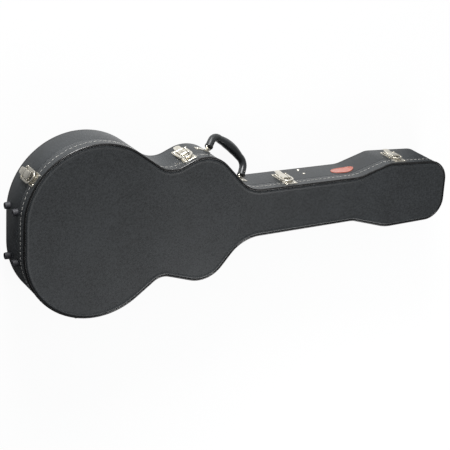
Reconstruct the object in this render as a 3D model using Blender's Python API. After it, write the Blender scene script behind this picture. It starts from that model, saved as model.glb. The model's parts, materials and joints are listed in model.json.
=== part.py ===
"""Hard case for a single-cutaway electric guitar, lying on its back panel.

Frame: +X runs along the neck axis toward the headstock end, +Y points to the
handle side, +Z from the back panel to the lid face. The origin lies on the
resting face of the back panel, on the neck axis, halfway along the case.
Metres throughout.
"""

import math

import bmesh
import bpy
from mathutils import Vector

MM = 0.001
HANDLE = 1
SPINE = -1

# Depth of the two shells
BASE_DEPTH = 70.5 * MM
LID_DEPTH = 37.0 * MM
SPLIT_GAP = 0.5 * MM

# Clearances, and how far welded parts bite into each other
SEAT_GAP = 0.3 * MM
RUNNING_GAP = 0.3 * MM
JOIN = 0.2 * MM

# Plan outline: a run of tangent arcs on each side of the neck axis. A reach
# is how far the crest or trough of an arc lies from that axis.
BUTT_X = -529.0 * MM
HEAD_END_X = 529.0 * MM
LOWER_BOUT_RADIUS = 162.0 * MM
LOWER_BOUT_REACH = {HANDLE: 200.0 * MM, SPINE: 188.0 * MM}
WAIST_STATION = {HANDLE: -192.0 * MM, SPINE: -206.0 * MM}
WAIST_REACH = {HANDLE: 124.0 * MM, SPINE: 118.0 * MM}
WAIST_RADIUS = {HANDLE: 56.0 * MM, SPINE: 40.0 * MM}
UPPER_BOUT_STATION = -119.0 * MM
UPPER_BOUT_REACH = {HANDLE: 143.6 * MM, SPINE: 140.4 * MM}
UPPER_BOUT_RADIUS = {HANDLE: 78.0 * MM, SPINE: 71.0 * MM}
NECK_STATION = 30.0 * MM
NECK_REACH = {HANDLE: 53.0 * MM, SPINE: 55.0 * MM}
NECK_RADIUS = {HANDLE: 71.0 * MM, SPINE: 95.0 * MM}
THROAT_STATION = {HANDLE: 275.0 * MM, SPINE: 267.0 * MM}
THROAT_REACH = {HANDLE: 51.0 * MM, SPINE: 52.0 * MM}
THROAT_RADIUS = {HANDLE: 77.0 * MM, SPINE: 61.0 * MM}
SHOULDER_STATION = {HANDLE: 371.0 * MM, SPINE: 380.0 * MM}
SHOULDER_REACH = {HANDLE: 74.2 * MM, SPINE: 79.2 * MM}
SHOULDER_RADIUS = {HANDLE: 46.0 * MM, SPINE: 90.0 * MM}
TIP_REACH = {HANDLE: 67.2 * MM, SPINE: 76.8 * MM}
TIP_RADIUS = 49.0 * MM
ARC_SAGITTA = 0.55 * MM
FACET_MERGE = 0.05 * MM

# Boards, edge beads and soft lining
WALL = 5.0 * MM
FACE_RECESS = 0.6 * MM
BEAD_HEIGHT = 6.0 * MM
LID_BEAD_PROUD = 1.5 * MM
BASE_BEAD_PROUD = 0.2 * MM
BEAD_BITE = 3.0 * MM
BEAD_ROUND = 3.2 * MM
LIP_THICKNESS = 3.0 * MM
LIP_RISE = 7.5 * MM
LIP_CLEARANCE = 0.6 * MM
FLOOR_PAD = 10.0 * MM
SIDE_PAD = 9.0 * MM
SIDE_PAD_DROP = 2.0 * MM
LID_PAD = 8.0 * MM
LID_SIDE_PAD = 3.0 * MM

# Latches: where they stand along the handle side, and their parts. Heights
# are measured out of the wall, levels up or down from the split.
LATCH_STATIONS = {
    "butt": -499.0 * MM,
    "upper_bout": -147.0 * MM,
    "neck": 111.0 * MM,
    "head": 405.0 * MM,
}
LOCKING_LATCH = "upper_bout"
PLATE_THICKNESS = 1.5 * MM
PLATE_CORNER = 3.0 * MM
STRIKE_WIDTH = 31.0 * MM
STRIKE_HEIGHT = 23.0 * MM
STRIKE_LEVEL = 2.0 * MM
RIVET_INSET = 4.6 * MM
CATCH_WIDTH = 13.0 * MM
CATCH_LEVEL = 7.0 * MM
CATCH_HEIGHT = 4.0 * MM
CATCH_SLOPE = 2.0 * MM
CATCH_CLEARANCE = 0.9 * MM
LATCH_PLATE_WIDTH = 29.0 * MM
LATCH_PLATE_HEIGHT = 43.0 * MM
LATCH_PLATE_LEVEL = -2.0 * MM
UPPER_RIVET_DROP = 9.0 * MM
RIVET_SHARE = 0.78
RIVET_RADIUS = 2.4 * MM
RIVET_HEIGHT = 1.3 * MM
DOME_PROFILE = ((1.0, 0.0), (0.92, 0.45), (0.55, 0.9))
PIVOT_LEVEL = -4.0 * MM
PIVOT_PIN_RADIUS = 1.2 * MM
PIN_END = 0.5 * MM
KNUCKLE_RADIUS = 2.8 * MM
KNUCKLE_LIFT = 1.2 * MM
LEVER_HALF_WIDTH = 8.5 * MM
LEVER_THICKNESS = 1.6 * MM
LEVER_LENGTH = 26.0 * MM
LEVER_LINK = 23.5 * MM
LEVER_TOP = 0.5 * MM
TAB_LENGTH = 17.0 * MM
TAB_HALF_WIDTH = 8.0 * MM
TAB_LIFT = 1.6 * MM
TAB_SHOULDER = 1.7 * MM
TAB_SECTIONS = ((0.1, 0.2, 1.0), (0.55, 0.8, 1.0), (0.82, 1.0, 0.92), (0.945, 1.0, 0.68), (1.0, 1.0, 0.38))
EAR_THICKNESS = 1.2 * MM
EAR_RADIUS = 2.9 * MM
EAR_FOOT = 1.5 * MM
HASP_STRAP = 4.5 * MM
HASP_THICKNESS = 1.6 * MM
HASP_SIDE_GAP = 0.7 * MM
HASP_EYE_RADIUS = 2.6 * MM
HASP_FOOT_SHARE = 0.4
LOCK_RADIUS = 4.6 * MM
LOCK_DROP = 12.0 * MM
LOCK_PROUD = 1.6 * MM
LOCK_DEPTH = 1.2 * MM
KEY_SLOT_WIDTH = 1.0 * MM
KEY_SLOT_LENGTH = 5.6 * MM
KEY_SLOT_DEPTH = 0.9 * MM

# Spine hinges
HINGE_CLEARANCE = 0.4 * MM
HINGE_SPREAD = 40.0 * MM
HEAD_HINGE_INSET = 30.0 * MM
HINGE_LENGTH = 36.0 * MM
HINGE_LID_KNUCKLE = 12.0 * MM
HINGE_KNUCKLE_RADIUS = 3.1 * MM
HINGE_PIN_RADIUS = 1.4 * MM
HINGE_PIN_HEAD = 2.5 * MM
HINGE_PIN_HEAD_LENGTH = 1.4 * MM
HINGE_PIN_CHAMFER = 0.5 * MM
HINGE_KNUCKLE_GAP = 0.4 * MM
LEAF_HEIGHT = 22.0 * MM
LEAF_LEVEL = 1.6 * MM
FLANGE_THICKNESS = 1.5 * MM
LEAF_RIVET_SPREAD = 11.0 * MM
LEAF_RIVET_LEVEL = 13.0 * MM

# Handle over the slope from the upper bout to the neck
HANDLE_LEVEL = BASE_DEPTH - 29.1 * MM
HANDLE_STATIONS = (-81.0 * MM, 5.5 * MM)
HANDLE_DROOP = 32.0
HANDLE_LEG_FOOT = 4.2 * MM
HANDLE_RISE = 40.2 * MM
HANDLE_LEG_LEAN = 5.0
HANDLE_BEND = 20.0 * MM
HANDLE_CROWN = 4.3 * MM
GRIP_HALF_HEIGHT = 11.8 * MM
GRIP_HALF_WIDTH = 10.6 * MM
LEG_HALF_HEIGHT = 7.8 * MM
LEG_HALF_WIDTH = 7.5 * MM
COLLAR_HALF_HEIGHT = 9.0 * MM
COLLAR_HALF_WIDTH = 8.4 * MM
COLLAR_LENGTH = 4.5 * MM
BEND_SWELL = 0.2
GRIP_SWELLS = ((0.25, 0.55), (0.6, 0.9))
LOOP_WIRE_RADIUS = 1.5 * MM
LOOP_HALF_SPAN = 6.6 * MM
BRACKET_WIDTH = 15.0 * MM
BRACKET_OUTBOARD = {"left": 31.0 * MM, "right": 18.0 * MM}
BRACKET_INBOARD = 7.0 * MM
BRACKET_KNUCKLE_RADIUS = 3.1 * MM
BRACKET_KNUCKLE_HALF = 4.4 * MM
BRACKET_RIVET_INSET = 6.0 * MM
BRACKET_LIFT = 1.5 * MM
STEM_INSET = 0.8 * MM
STEM_FOOT_HALF = 2.6 * MM
STEM_HEAD_HALF = 1.6 * MM
STEM_BITE = 0.75

# Feet on the butt, rivets and badge on the neck wall
FOOT_SPACING = 113.0 * MM
FOOT_LEVELS = {"low": 16.6 * MM, "high": BASE_DEPTH - 9.0 * MM}
FOOT_RADIUS = 7.8 * MM
FOOT_TIP_RADIUS = 7.2 * MM
FOOT_PLANE = 9.0 * MM
FOOT_RECESS_RADIUS = 3.6 * MM
FOOT_RECESS_DEPTH = 5.0 * MM
FOOT_BEVEL = 0.8 * MM
FOOT_BEVEL_LENGTH = 1.2 * MM
PARTITION_RIVET_LEVELS = {"low": 14.5 * MM, "high": 40.5 * MM}
PARTITION_RIVET_RADIUS = 3.6 * MM
PARTITION_RIVET_HEIGHT = 1.8 * MM
BADGE_STATION = 272.0 * MM
BADGE_LEVEL = BASE_DEPTH - 20.5 * MM
BADGE_LENGTH = 60.0 * MM
BADGE_HEIGHT = 31.0 * MM
BADGE_THICKNESS = 1.6 * MM

# Accessory compartment and neck cradle in the neck channel
PARTITION_THICKNESS = 6.0 * MM
BODY_PARTITION_STATION = 50.0 * MM
HEAD_PARTITION_STATION = 175.0 * MM
COMPARTMENT_RIM = 46.0 * MM
COMPARTMENT_LID_THICKNESS = 4.0 * MM
COMPARTMENT_LID_OVERHANG = 2.0 * MM
COMPARTMENT_LID_CLEARANCE = 1.5 * MM
COMPARTMENT_HINGE_RADIUS = 2.4 * MM
COMPARTMENT_RAIL_WIDTH = 8.0 * MM
COMPARTMENT_RAIL_HEIGHT = 14.0 * MM
PULL_TAB_LENGTH = 22.0 * MM
PULL_TAB_WIDTH = 14.0 * MM
PULL_TAB_THICKNESS = 1.2 * MM
CRADLE_STATION = 214.0 * MM
CRADLE_LENGTH = 30.0 * MM
CRADLE_TOP = 66.0 * MM
CRADLE_NOTCH_HALF = 27.0 * MM
CRADLE_NOTCH_DEPTH = 17.0 * MM

ROUND_SIDES = 12
RIVET_SIDES = 8
GRIP_SIDES = 12

CASE_DEPTH = BASE_DEPTH + LID_DEPTH
BASE_RIM = BASE_DEPTH - SPLIT_GAP / 2
LID_RIM = BASE_DEPTH + SPLIT_GAP / 2
LIP_OUTER = -WALL - LIP_CLEARANCE
LIP_INNER = LIP_OUTER - LIP_THICKNESS
PAD_OUTER = LIP_INNER - SEAT_GAP
PAD_INNER = PAD_OUTER - SIDE_PAD
FLOOR_LEVEL = BEAD_HEIGHT + SEAT_GAP
FLOOR_TOP = FLOOR_LEVEL + FLOOR_PAD
CEILING_LEVEL = CASE_DEPTH - BEAD_HEIGHT - SEAT_GAP

# Heights of metal parts over the wall, and widths that follow from each other
PLATE_SKIN = SEAT_GAP + PLATE_THICKNESS
PLATE_MIDDLE = SEAT_GAP + PLATE_THICKNESS / 2
PIVOT_OUT = PLATE_SKIN + KNUCKLE_RADIUS + KNUCKLE_LIFT
LINK_LEVEL = PIVOT_LEVEL - LEVER_LINK
LEVER_OUT = PIVOT_OUT + KNUCKLE_RADIUS - LEVER_THICKNESS
EAR_INNER = LEVER_HALF_WIDTH + RUNNING_GAP
EAR_OUTER = EAR_INNER + EAR_THICKNESS
HASP_INNER = EAR_OUTER + PIN_END + HASP_SIDE_GAP
HASP_OUTER = HASP_INNER + HASP_STRAP
HASP_UNDER = PIVOT_OUT - HASP_THICKNESS / 2
CATCH_OUT = HASP_UNDER - CATCH_CLEARANCE
HINGE_STANDOFF = PLATE_SKIN + HINGE_KNUCKLE_RADIUS + HINGE_CLEARANCE
HANDLE_PIVOT_OUT = PLATE_SKIN + BRACKET_KNUCKLE_RADIUS + BRACKET_LIFT


class Outline:
    """The plan outline as a closed counter-clockwise chain of facets.

    Every offset of it keeps the same facet directions, so pieces that are
    built on the same facets seat flat on each other.
    """

    def __init__(self, arcs):
        self.stations = []
        joins = []
        for here, there in zip(arcs, arcs[1:] + arcs[:1]):
            joins.append(self.common_tangent(here, there))
        for index, (centre, bend) in enumerate(arcs):
            start = joins[index - 1]
            turn = (joins[index] - start + math.pi) % (2 * math.pi) - math.pi
            if bend > 0 and turn < 0:
                turn += 2 * math.pi
            if bend < 0 and turn > 0:
                turn -= 2 * math.pi
            facet = 2 * math.acos(1 - ARC_SAGITTA / abs(bend))
            count = max(1, math.ceil(abs(turn) / facet))
            for step in range(count + 1):
                heading = start + turn * step / count
                left = Vector((-math.sin(heading), math.cos(heading)))
                self.stations.append((centre, bend, left))
        self.base = self.at(0.0)

    @staticmethod
    def common_tangent(here, there):
        """Heading of the line that leaves one arc and joins the next."""
        span = there[0] - here[0]
        lift = (there[1] - here[1]) / span.length
        lift = max(-1.0, min(1.0, lift))
        return math.atan2(span.y, span.x) - math.asin(lift)

    def at(self, offset):
        """Corner points at an offset, outward positive."""
        return [c - (bend + offset) * left for c, bend, left in self.stations]

    def find(self, side, x):
        """Facet and share along it where a side of the outline passes x."""
        count = len(self.base)
        for index in range(count):
            a = self.base[index]
            b = self.base[(index + 1) % count]
            if side * (a.y + b.y) < 0 or side * (b.x - a.x) >= 0:
                continue
            if min(a.x, b.x) <= x <= max(a.x, b.x):
                return index, (x - a.x) / (b.x - a.x)
        raise ValueError("the outline has no point there")

    def point(self, index, share, offset):
        """Point on a facet of the outline at an offset."""
        corners = self.stations
        count = len(corners)
        ends = []
        for centre, bend, left in (corners[index], corners[(index + 1) % count]):
            ends.append(centre - (bend + offset) * left)
        return ends[0].lerp(ends[1], share)

    def walk(self, index, share, distance):
        """Facet and share reached after a distance along the outline."""
        count = len(self.base)
        while True:
            a = self.base[index]
            b = self.base[(index + 1) % count]
            length = (b - a).length
            target = share * length + distance
            if length > 0 and 0 <= target <= length:
                return index, target / length
            if target < 0:
                distance = target
                index = (index - 1) % count
                a = self.base[index]
                share = 1.0
            else:
                distance = target - length
                index = (index + 1) % count
                share = 0.0


def plan_arcs():
    """Centre and signed radius of each arc, counter-clockwise."""
    runs = {}
    for side in (SPINE, HANDLE):
        tip_x = HEAD_END_X - TIP_RADIUS
        butt_x = BUTT_X + LOWER_BOUT_RADIUS
        runs[side] = [
            (butt_x, LOWER_BOUT_REACH[side], LOWER_BOUT_RADIUS),
            (WAIST_STATION[side], WAIST_REACH[side], -WAIST_RADIUS[side]),
            (UPPER_BOUT_STATION, UPPER_BOUT_REACH[side], UPPER_BOUT_RADIUS[side]),
            (NECK_STATION, NECK_REACH[side], -NECK_RADIUS[side]),
            (THROAT_STATION[side], THROAT_REACH[side], -THROAT_RADIUS[side]),
            (SHOULDER_STATION[side], SHOULDER_REACH[side], SHOULDER_RADIUS[side]),
            (tip_x, TIP_REACH[side], TIP_RADIUS),
        ]
    arcs = []
    for side, run in ((SPINE, runs[SPINE]), (HANDLE, runs[HANDLE][::-1])):
        for station, reach, bend in run:
            arcs.append((Vector((station, side * (reach - bend))), bend))
    return arcs


OUTLINE = Outline(plan_arcs())


class Spot:
    """A place on the side wall, with its own flat frame.

    Local coordinates are along (toward the headstock), up and out.
    """

    def __init__(self, side, x, level):
        self.side = side
        self.level = level
        self.index, self.share = OUTLINE.find(side, x)
        step = 1.0 * MM
        ahead = self.flat(step, 0.0, 0.0, wrapped=True)
        behind = self.flat(-step, 0.0, 0.0, wrapped=True)
        self.along = (ahead - behind).normalized()
        self.up = Vector((0.0, 0.0, 1.0))
        self.out = side * self.up.cross(self.along)
        self.origin = self.flat(0.0, 0.0, 0.0, wrapped=True)

    def flat(self, along, up, out, wrapped=False):
        """World point in the flat frame, or laid onto the wall."""
        if wrapped:
            index, share = OUTLINE.walk(self.index, self.share, -self.side * along)
            plan = OUTLINE.point(index, share, out)
            return Vector((plan.x, plan.y, self.level + up))
        return self.origin + self.along * along + self.up * up + self.out * out

    def wrap(self, along, up, out):
        """World point laid onto the wall."""
        return self.flat(along, up, out, wrapped=True)

    def fall(self, along):
        """How far the wall bends away from the flat frame at a distance."""
        return (self.flat(along, 0.0, 0.0) - self.wrap(along, 0.0, 0.0)).dot(self.out)

    def facet_breaks(self, low, high):
        """Distances along the wall at which its facets meet."""
        breaks = []
        for direction in (1, -1):
            index, share = self.index, self.share
            travelled = 0.0
            limit = high if direction > 0 else -low
            while travelled < limit:
                a = OUTLINE.base[index]
                b = OUTLINE.base[(index + 1) % len(OUTLINE.base)]
                length = (b - a).length
                forward = -self.side * direction > 0
                rest = (1 - share) * length if forward else share * length
                travelled += rest
                if low < direction * travelled < high:
                    breaks.append(direction * travelled)
                index = (index + (1 if forward else -1)) % len(OUTLINE.base)
                share = 0.0 if forward else 1.0
        return breaks


def rounded_rectangle(low, high, radius, steps=3):
    """Corner points of a rectangle with rounded corners."""
    points = []
    corners = (
        (high[0] - radius, high[1] - radius, 0.0),
        (low[0] + radius, high[1] - radius, 90.0),
        (low[0] + radius, low[1] + radius, 180.0),
        (high[0] - radius, low[1] + radius, 270.0),
    )
    for x, y, start in corners:
        for step in range(steps + 1):
            angle = math.radians(start + 90.0 * step / steps)
            points.append((x + radius * math.cos(angle), y + radius * math.sin(angle)))
    return points


def circle(x, y, radius, sides, phase=0.5):
    """Corner points of a regular polygon that stands for a circle."""
    points = []
    for step in range(sides):
        angle = 2 * math.pi * (step + phase) / sides
        points.append((x + radius * math.cos(angle), y + radius * math.sin(angle)))
    return points


def column_ends(points, x):
    """Lowest and highest y of a convex polygon at x."""
    hits = []
    for (ax, ay), (bx, by) in zip(points, points[1:] + points[:1]):
        if min(ax, bx) - 1e-9 <= x <= max(ax, bx) + 1e-9:
            if abs(bx - ax) < 1e-9:
                hits += [ay, by]
            else:
                hits.append(ay + (by - ay) * (x - ax) / (bx - ax))
    return min(hits), max(hits)


class Shape:
    """Vertices and faces on the way to a mesh."""

    def __init__(self):
        self.verts = []
        self.faces = []

    def add(self, points, faces):
        start = len(self.verts)
        self.verts += [Vector(p) for p in points]
        self.faces += [tuple(start + i for i in face) for face in faces]
        return self

    def loft(self, rings, closed_run=False):
        """Skin over equal rings, capped unless the run closes on itself."""
        size = len(rings[0])
        points = [p for ring in rings for p in ring]
        faces = []
        spans = len(rings) if closed_run else len(rings) - 1
        for run in range(spans):
            nxt = (run + 1) % len(rings)
            for i in range(size):
                j = (i + 1) % size
                faces.append((run * size + i, run * size + j, nxt * size + j, nxt * size + i))
        if not closed_run:
            faces.append(tuple(range(size)))
            faces.append(tuple((len(rings) - 1) * size + i for i in range(size)))
        return self.add(points, faces)


def prism(place, outline, low, high):
    """An outline swept straight from low to high, placed by a function."""
    rings = [[place(x, y, level) for x, y in outline] for level in (low, high)]
    return Shape().loft(rings)


def wrapped_plate(spot, outline, low, high):
    """A convex plate laid onto the wall, facet by facet."""
    stations = sorted({round(x, 7) for x, _ in outline})
    breaks = spot.facet_breaks(stations[0], stations[-1])
    for value in breaks:
        if min(abs(value - s) for s in stations) > FACET_MERGE:
            stations.append(round(value, 7))
    rings = []
    for x in sorted(stations):
        bottom, top = column_ends(outline, x)
        rings.append([
            spot.wrap(x, bottom, low),
            spot.wrap(x, top, low),
            spot.wrap(x, top, high),
            spot.wrap(x, bottom, high),
        ])
    return Shape().loft(rings)


def dome(place, x, y, low, radius, height, sides=RIVET_SIDES):
    """A low round rivet head standing on a plate."""
    rings = []
    for share, rise in DOME_PROFILE:
        ring = circle(x, y, radius * share, sides)
        rings.append([place(px, py, low + height * rise) for px, py in ring])
    shape = Shape().loft(rings)
    shape.faces.pop()
    apex = len(shape.verts)
    shape.verts.append(place(x, y, low + height))
    last = apex - sides
    for i in range(sides):
        shape.faces.append((last + i, last + (i + 1) % sides, apex))
    return shape


def plate_rivet(spot, x, y):
    """A rivet head joined to a plate that lies on the wall."""
    return dome(spot.wrap, x, y, PLATE_SKIN - JOIN, RIVET_RADIUS, RIVET_HEIGHT)


def strip(place, stations, thickness):
    """A metal strip described by level, height and half width stations."""
    rings = []
    for level, height, half in stations:
        low = height - thickness / 2
        high = height + thickness / 2
        rings.append([
            place(-half, level, low),
            place(half, level, low),
            place(half, level, high),
            place(-half, level, high),
        ])
    return Shape().loft(rings)


def across(spot):
    """Place an outline drawn in up and out, swept along the wall."""
    return lambda up, out, along: spot.flat(along, up, out)


def facing(spot):
    """Place an outline drawn along and up, swept out of the wall."""
    return lambda along, up, out: spot.flat(along, up, out)


def material(name, colour, roughness, metallic=0.0):
    """A plain Principled material."""
    found = bpy.data.materials.get(name)
    if found:
        return found
    made = bpy.data.materials.new(name)
    made.use_nodes = True
    shader = made.node_tree.nodes["Principled BSDF"]
    shader.inputs["Base Color"].default_value = (*colour, 1.0)
    shader.inputs["Roughness"].default_value = roughness
    shader.inputs["Metallic"].default_value = metallic
    made.diffuse_color = (*colour, 1.0)
    return made


def vinyl():
    return material("black_grained_vinyl", (0.045, 0.046, 0.048), 0.6)


def bead_vinyl():
    return material("black_edge_bead", (0.012, 0.012, 0.013), 0.45)


def nickel():
    return material("nickel_plate", (0.72, 0.69, 0.62), 0.28, 1.0)


def plush():
    return material("dark_plush", (0.03, 0.03, 0.035), 0.95)


def board():
    return material("black_stained_board", (0.03, 0.028, 0.027), 0.7)


def rubber():
    return material("black_rubber", (0.02, 0.02, 0.021), 0.75)


def moulded():
    return material("black_moulded_plastic", (0.025, 0.026, 0.028), 0.42)


def enamel():
    return material("coral_enamel", (0.62, 0.17, 0.11), 0.35)


def leather():
    return material("black_leather", (0.02, 0.018, 0.017), 0.6)


def make_object(name, shape, pivot=None):
    """A mesh object whose origin lies on its pivot."""
    pivot = Vector(pivot) if pivot is not None else Vector()
    mesh = bpy.data.meshes.new(name)
    mesh.from_pydata([v - pivot for v in shape.verts], [], shape.faces)
    work = bmesh.new()
    work.from_mesh(mesh)
    bmesh.ops.recalc_face_normals(work, faces=work.faces)
    work.to_mesh(mesh)
    work.free()
    made = bpy.data.objects.new(name, mesh)
    made.location = pivot
    bpy.context.collection.objects.link(made)
    return made


def combine(target, shape, operation, pivot):
    """Join a shape to an object, or cut it away, with a tool that rides on it."""
    count = len(target.modifiers)
    tool = make_object(f"{target.name}_tool_{count}", shape, pivot)
    tool.hide_render = True
    tool.display_type = "WIRE"
    tool.parent = target
    tool.location = (0.0, 0.0, 0.0)
    change = target.modifiers.new(f"{operation.lower()}_{count}", "BOOLEAN")
    change.operation = operation
    change.solver = "EXACT"
    change.object = tool


def node(name, shape, look, joined=(), cut=(), pivot=None, carrier=None, smooth=None):
    """One finished piece of the case."""
    made = make_object(name, shape, pivot)
    made.data.materials.append(look)
    for other in joined:
        combine(made, other, "UNION", pivot)
    for other in cut:
        combine(made, other, "DIFFERENCE", pivot)
    if smooth is not None:
        made.data.shade_smooth()
        made.data.set_sharp_from_angle(angle=math.radians(smooth))
    if carrier is not None:
        made.parent = carrier
        made.location = made.location - carrier.matrix_world.translation
    return made


def pivot_empty(name, place, carrier=None):
    """The empty that carries what turns about a joint."""
    made = bpy.data.objects.new(name, None)
    made.location = place
    bpy.context.collection.objects.link(made)
    if carrier is not None:
        made.parent = carrier
        made.location = made.location - carrier.matrix_world.translation
    bpy.context.view_layer.update()
    return made


def clear_scene():
    for found in list(bpy.data.objects):
        bpy.data.objects.remove(found, do_unlink=True)


def ring_shape(profile):
    """A profile of offset and level carried round the outline."""
    corners = [OUTLINE.at(offset) for offset, _ in profile]
    rings = []
    for index in range(len(OUTLINE.base)):
        rings.append([
            Vector((corners[k][index].x, corners[k][index].y, level))
            for k, (_, level) in enumerate(profile)
        ])
    return Shape().loft(rings, closed_run=True)


def ring_band(outer, inner, low, high):
    """A plain rectangular profile for ring_shape."""
    return ring_shape([(outer, low), (outer, high), (inner, high), (inner, low)])


def slab_shape(offset, low, high):
    """A flat board that fills the outline."""
    corners = OUTLINE.at(offset)
    rings = [[Vector((c.x, c.y, level)) for c in corners] for level in (low, high)]
    return Shape().loft(rings)


def bead_profile(outer_level, inner_level, proud):
    """Corner bead with one rounded corner, on the outer side."""
    step = 1 if outer_level > inner_level else -1
    profile = [(-BEAD_BITE, inner_level), (-BEAD_BITE, outer_level)]
    centre = (proud - BEAD_ROUND, outer_level - step * BEAD_ROUND)
    for degrees in (90, 60, 30, 0):
        angle = math.radians(degrees)
        x = centre[0] + BEAD_ROUND * math.cos(angle)
        profile.append((x, centre[1] + step * BEAD_ROUND * math.sin(angle)))
    profile.append((proud, inner_level + step * proud))
    profile.append((0.0, inner_level))
    return profile


def make_shells(lid):
    """Side bands, boards and edge beads of the base and the lid."""
    band = ring_band(0.0, -WALL, FLOOR_LEVEL, BASE_RIM)
    node("base_side_band", band, vinyl(), smooth=30)
    panel = slab_shape(-BEAD_BITE - SEAT_GAP, 0.0, BEAD_HEIGHT)
    node("base_back_panel", panel, vinyl())
    bead = ring_shape(bead_profile(0.0, BEAD_HEIGHT, BASE_BEAD_PROUD))
    node("base_edge_bead", bead, bead_vinyl(), smooth=35)

    band = ring_band(0.0, -WALL, LID_RIM, CEILING_LEVEL)
    node("lid_side_band", band, vinyl(), carrier=lid, smooth=30)
    panel = slab_shape(-BEAD_BITE - SEAT_GAP, CASE_DEPTH - BEAD_HEIGHT, CASE_DEPTH - FACE_RECESS)
    node("lid_face_panel", panel, vinyl(), carrier=lid)
    bead = ring_shape(bead_profile(CASE_DEPTH, CASE_DEPTH - BEAD_HEIGHT, LID_BEAD_PROUD))
    node("lid_edge_bead", bead, bead_vinyl(), carrier=lid, smooth=35)


def make_lining(lid):
    """Inner lip, floor and side padding, and the lid's padding."""
    lip_top = BASE_DEPTH + LIP_RISE
    lip = ring_band(LIP_OUTER, LIP_INNER, FLOOR_LEVEL, lip_top)
    node("base_inner_lip", lip, board(), smooth=30)
    node("base_floor_pad", slab_shape(PAD_OUTER, FLOOR_LEVEL, FLOOR_TOP), plush())
    side = ring_band(PAD_OUTER, PAD_INNER, FLOOR_TOP + SEAT_GAP, lip_top - SIDE_PAD_DROP)
    node("base_side_pad", side, plush(), smooth=30)

    edge = -WALL - SEAT_GAP
    under = CEILING_LEVEL - LID_PAD
    node("lid_face_pad", slab_shape(edge, under, CEILING_LEVEL), plush(), carrier=lid)
    side = ring_band(edge, edge - LID_SIDE_PAD, lip_top + SIDE_PAD_DROP, under - SEAT_GAP)
    node("lid_side_pad", side, plush(), carrier=lid, smooth=30)


def make_strike(name, spot, lid):
    """Plate on the lid, with the catch that the hasp hooks over."""
    half = STRIKE_WIDTH / 2
    top = STRIKE_LEVEL + STRIKE_HEIGHT
    plate = rounded_rectangle((-half, STRIKE_LEVEL), (half, top), PLATE_CORNER)
    catch_top = CATCH_LEVEL + CATCH_HEIGHT
    profile = [
        (CATCH_LEVEL - CATCH_SLOPE, PLATE_MIDDLE),
        (CATCH_LEVEL, CATCH_OUT),
        (catch_top, CATCH_OUT),
        (catch_top, PLATE_MIDDLE),
    ]
    joined = [prism(across(spot), profile, -CATCH_WIDTH / 2, CATCH_WIDTH / 2)]
    for turn in (-1, 1):
        joined.append(plate_rivet(spot, turn * (half - RIVET_INSET), top - RIVET_INSET))
    shape = wrapped_plate(spot, plate, SEAT_GAP, PLATE_SKIN)
    node(f"latch_{name}_strike", shape, nickel(), joined=joined, carrier=lid)


def make_latch_plate(name, spot):
    """Plate on the base, with two ears and the lever's pin between them."""
    side_on = across(spot)
    half = LATCH_PLATE_WIDTH / 2
    bottom = LATCH_PLATE_LEVEL - LATCH_PLATE_HEIGHT
    plate = rounded_rectangle((-half, bottom), (half, LATCH_PLATE_LEVEL), PLATE_CORNER)
    crest = []
    for degrees in (180, 135, 90, 45, 0):
        angle = math.radians(degrees)
        level = PIVOT_LEVEL + EAR_RADIUS * math.cos(angle)
        crest.append((level, PIVOT_OUT + EAR_RADIUS * math.sin(angle)))
    joined = []
    for turn in (-1, 1):
        low, high = sorted((turn * EAR_INNER, turn * EAR_OUTER))
        foot = PLATE_MIDDLE - max(0.0, spot.fall((low + high) / 2))
        ear = [(PIVOT_LEVEL - EAR_RADIUS - EAR_FOOT, foot), *crest, (LATCH_PLATE_LEVEL - 2 * JOIN, foot)]
        joined.append(prism(side_on, ear, low, high))
        for level in (LATCH_PLATE_LEVEL - UPPER_RIVET_DROP, bottom + RIVET_INSET):
            joined.append(plate_rivet(spot, turn * half * RIVET_SHARE, level))
    pin = circle(PIVOT_LEVEL, PIVOT_OUT, PIVOT_PIN_RADIUS, RIVET_SIDES)
    joined.append(prism(side_on, pin, -EAR_OUTER - PIN_END, EAR_OUTER + PIN_END))
    shape = wrapped_plate(spot, plate, SEAT_GAP, PLATE_SKIN)
    node(f"latch_{name}_plate", shape, nickel(), joined=joined)


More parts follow.
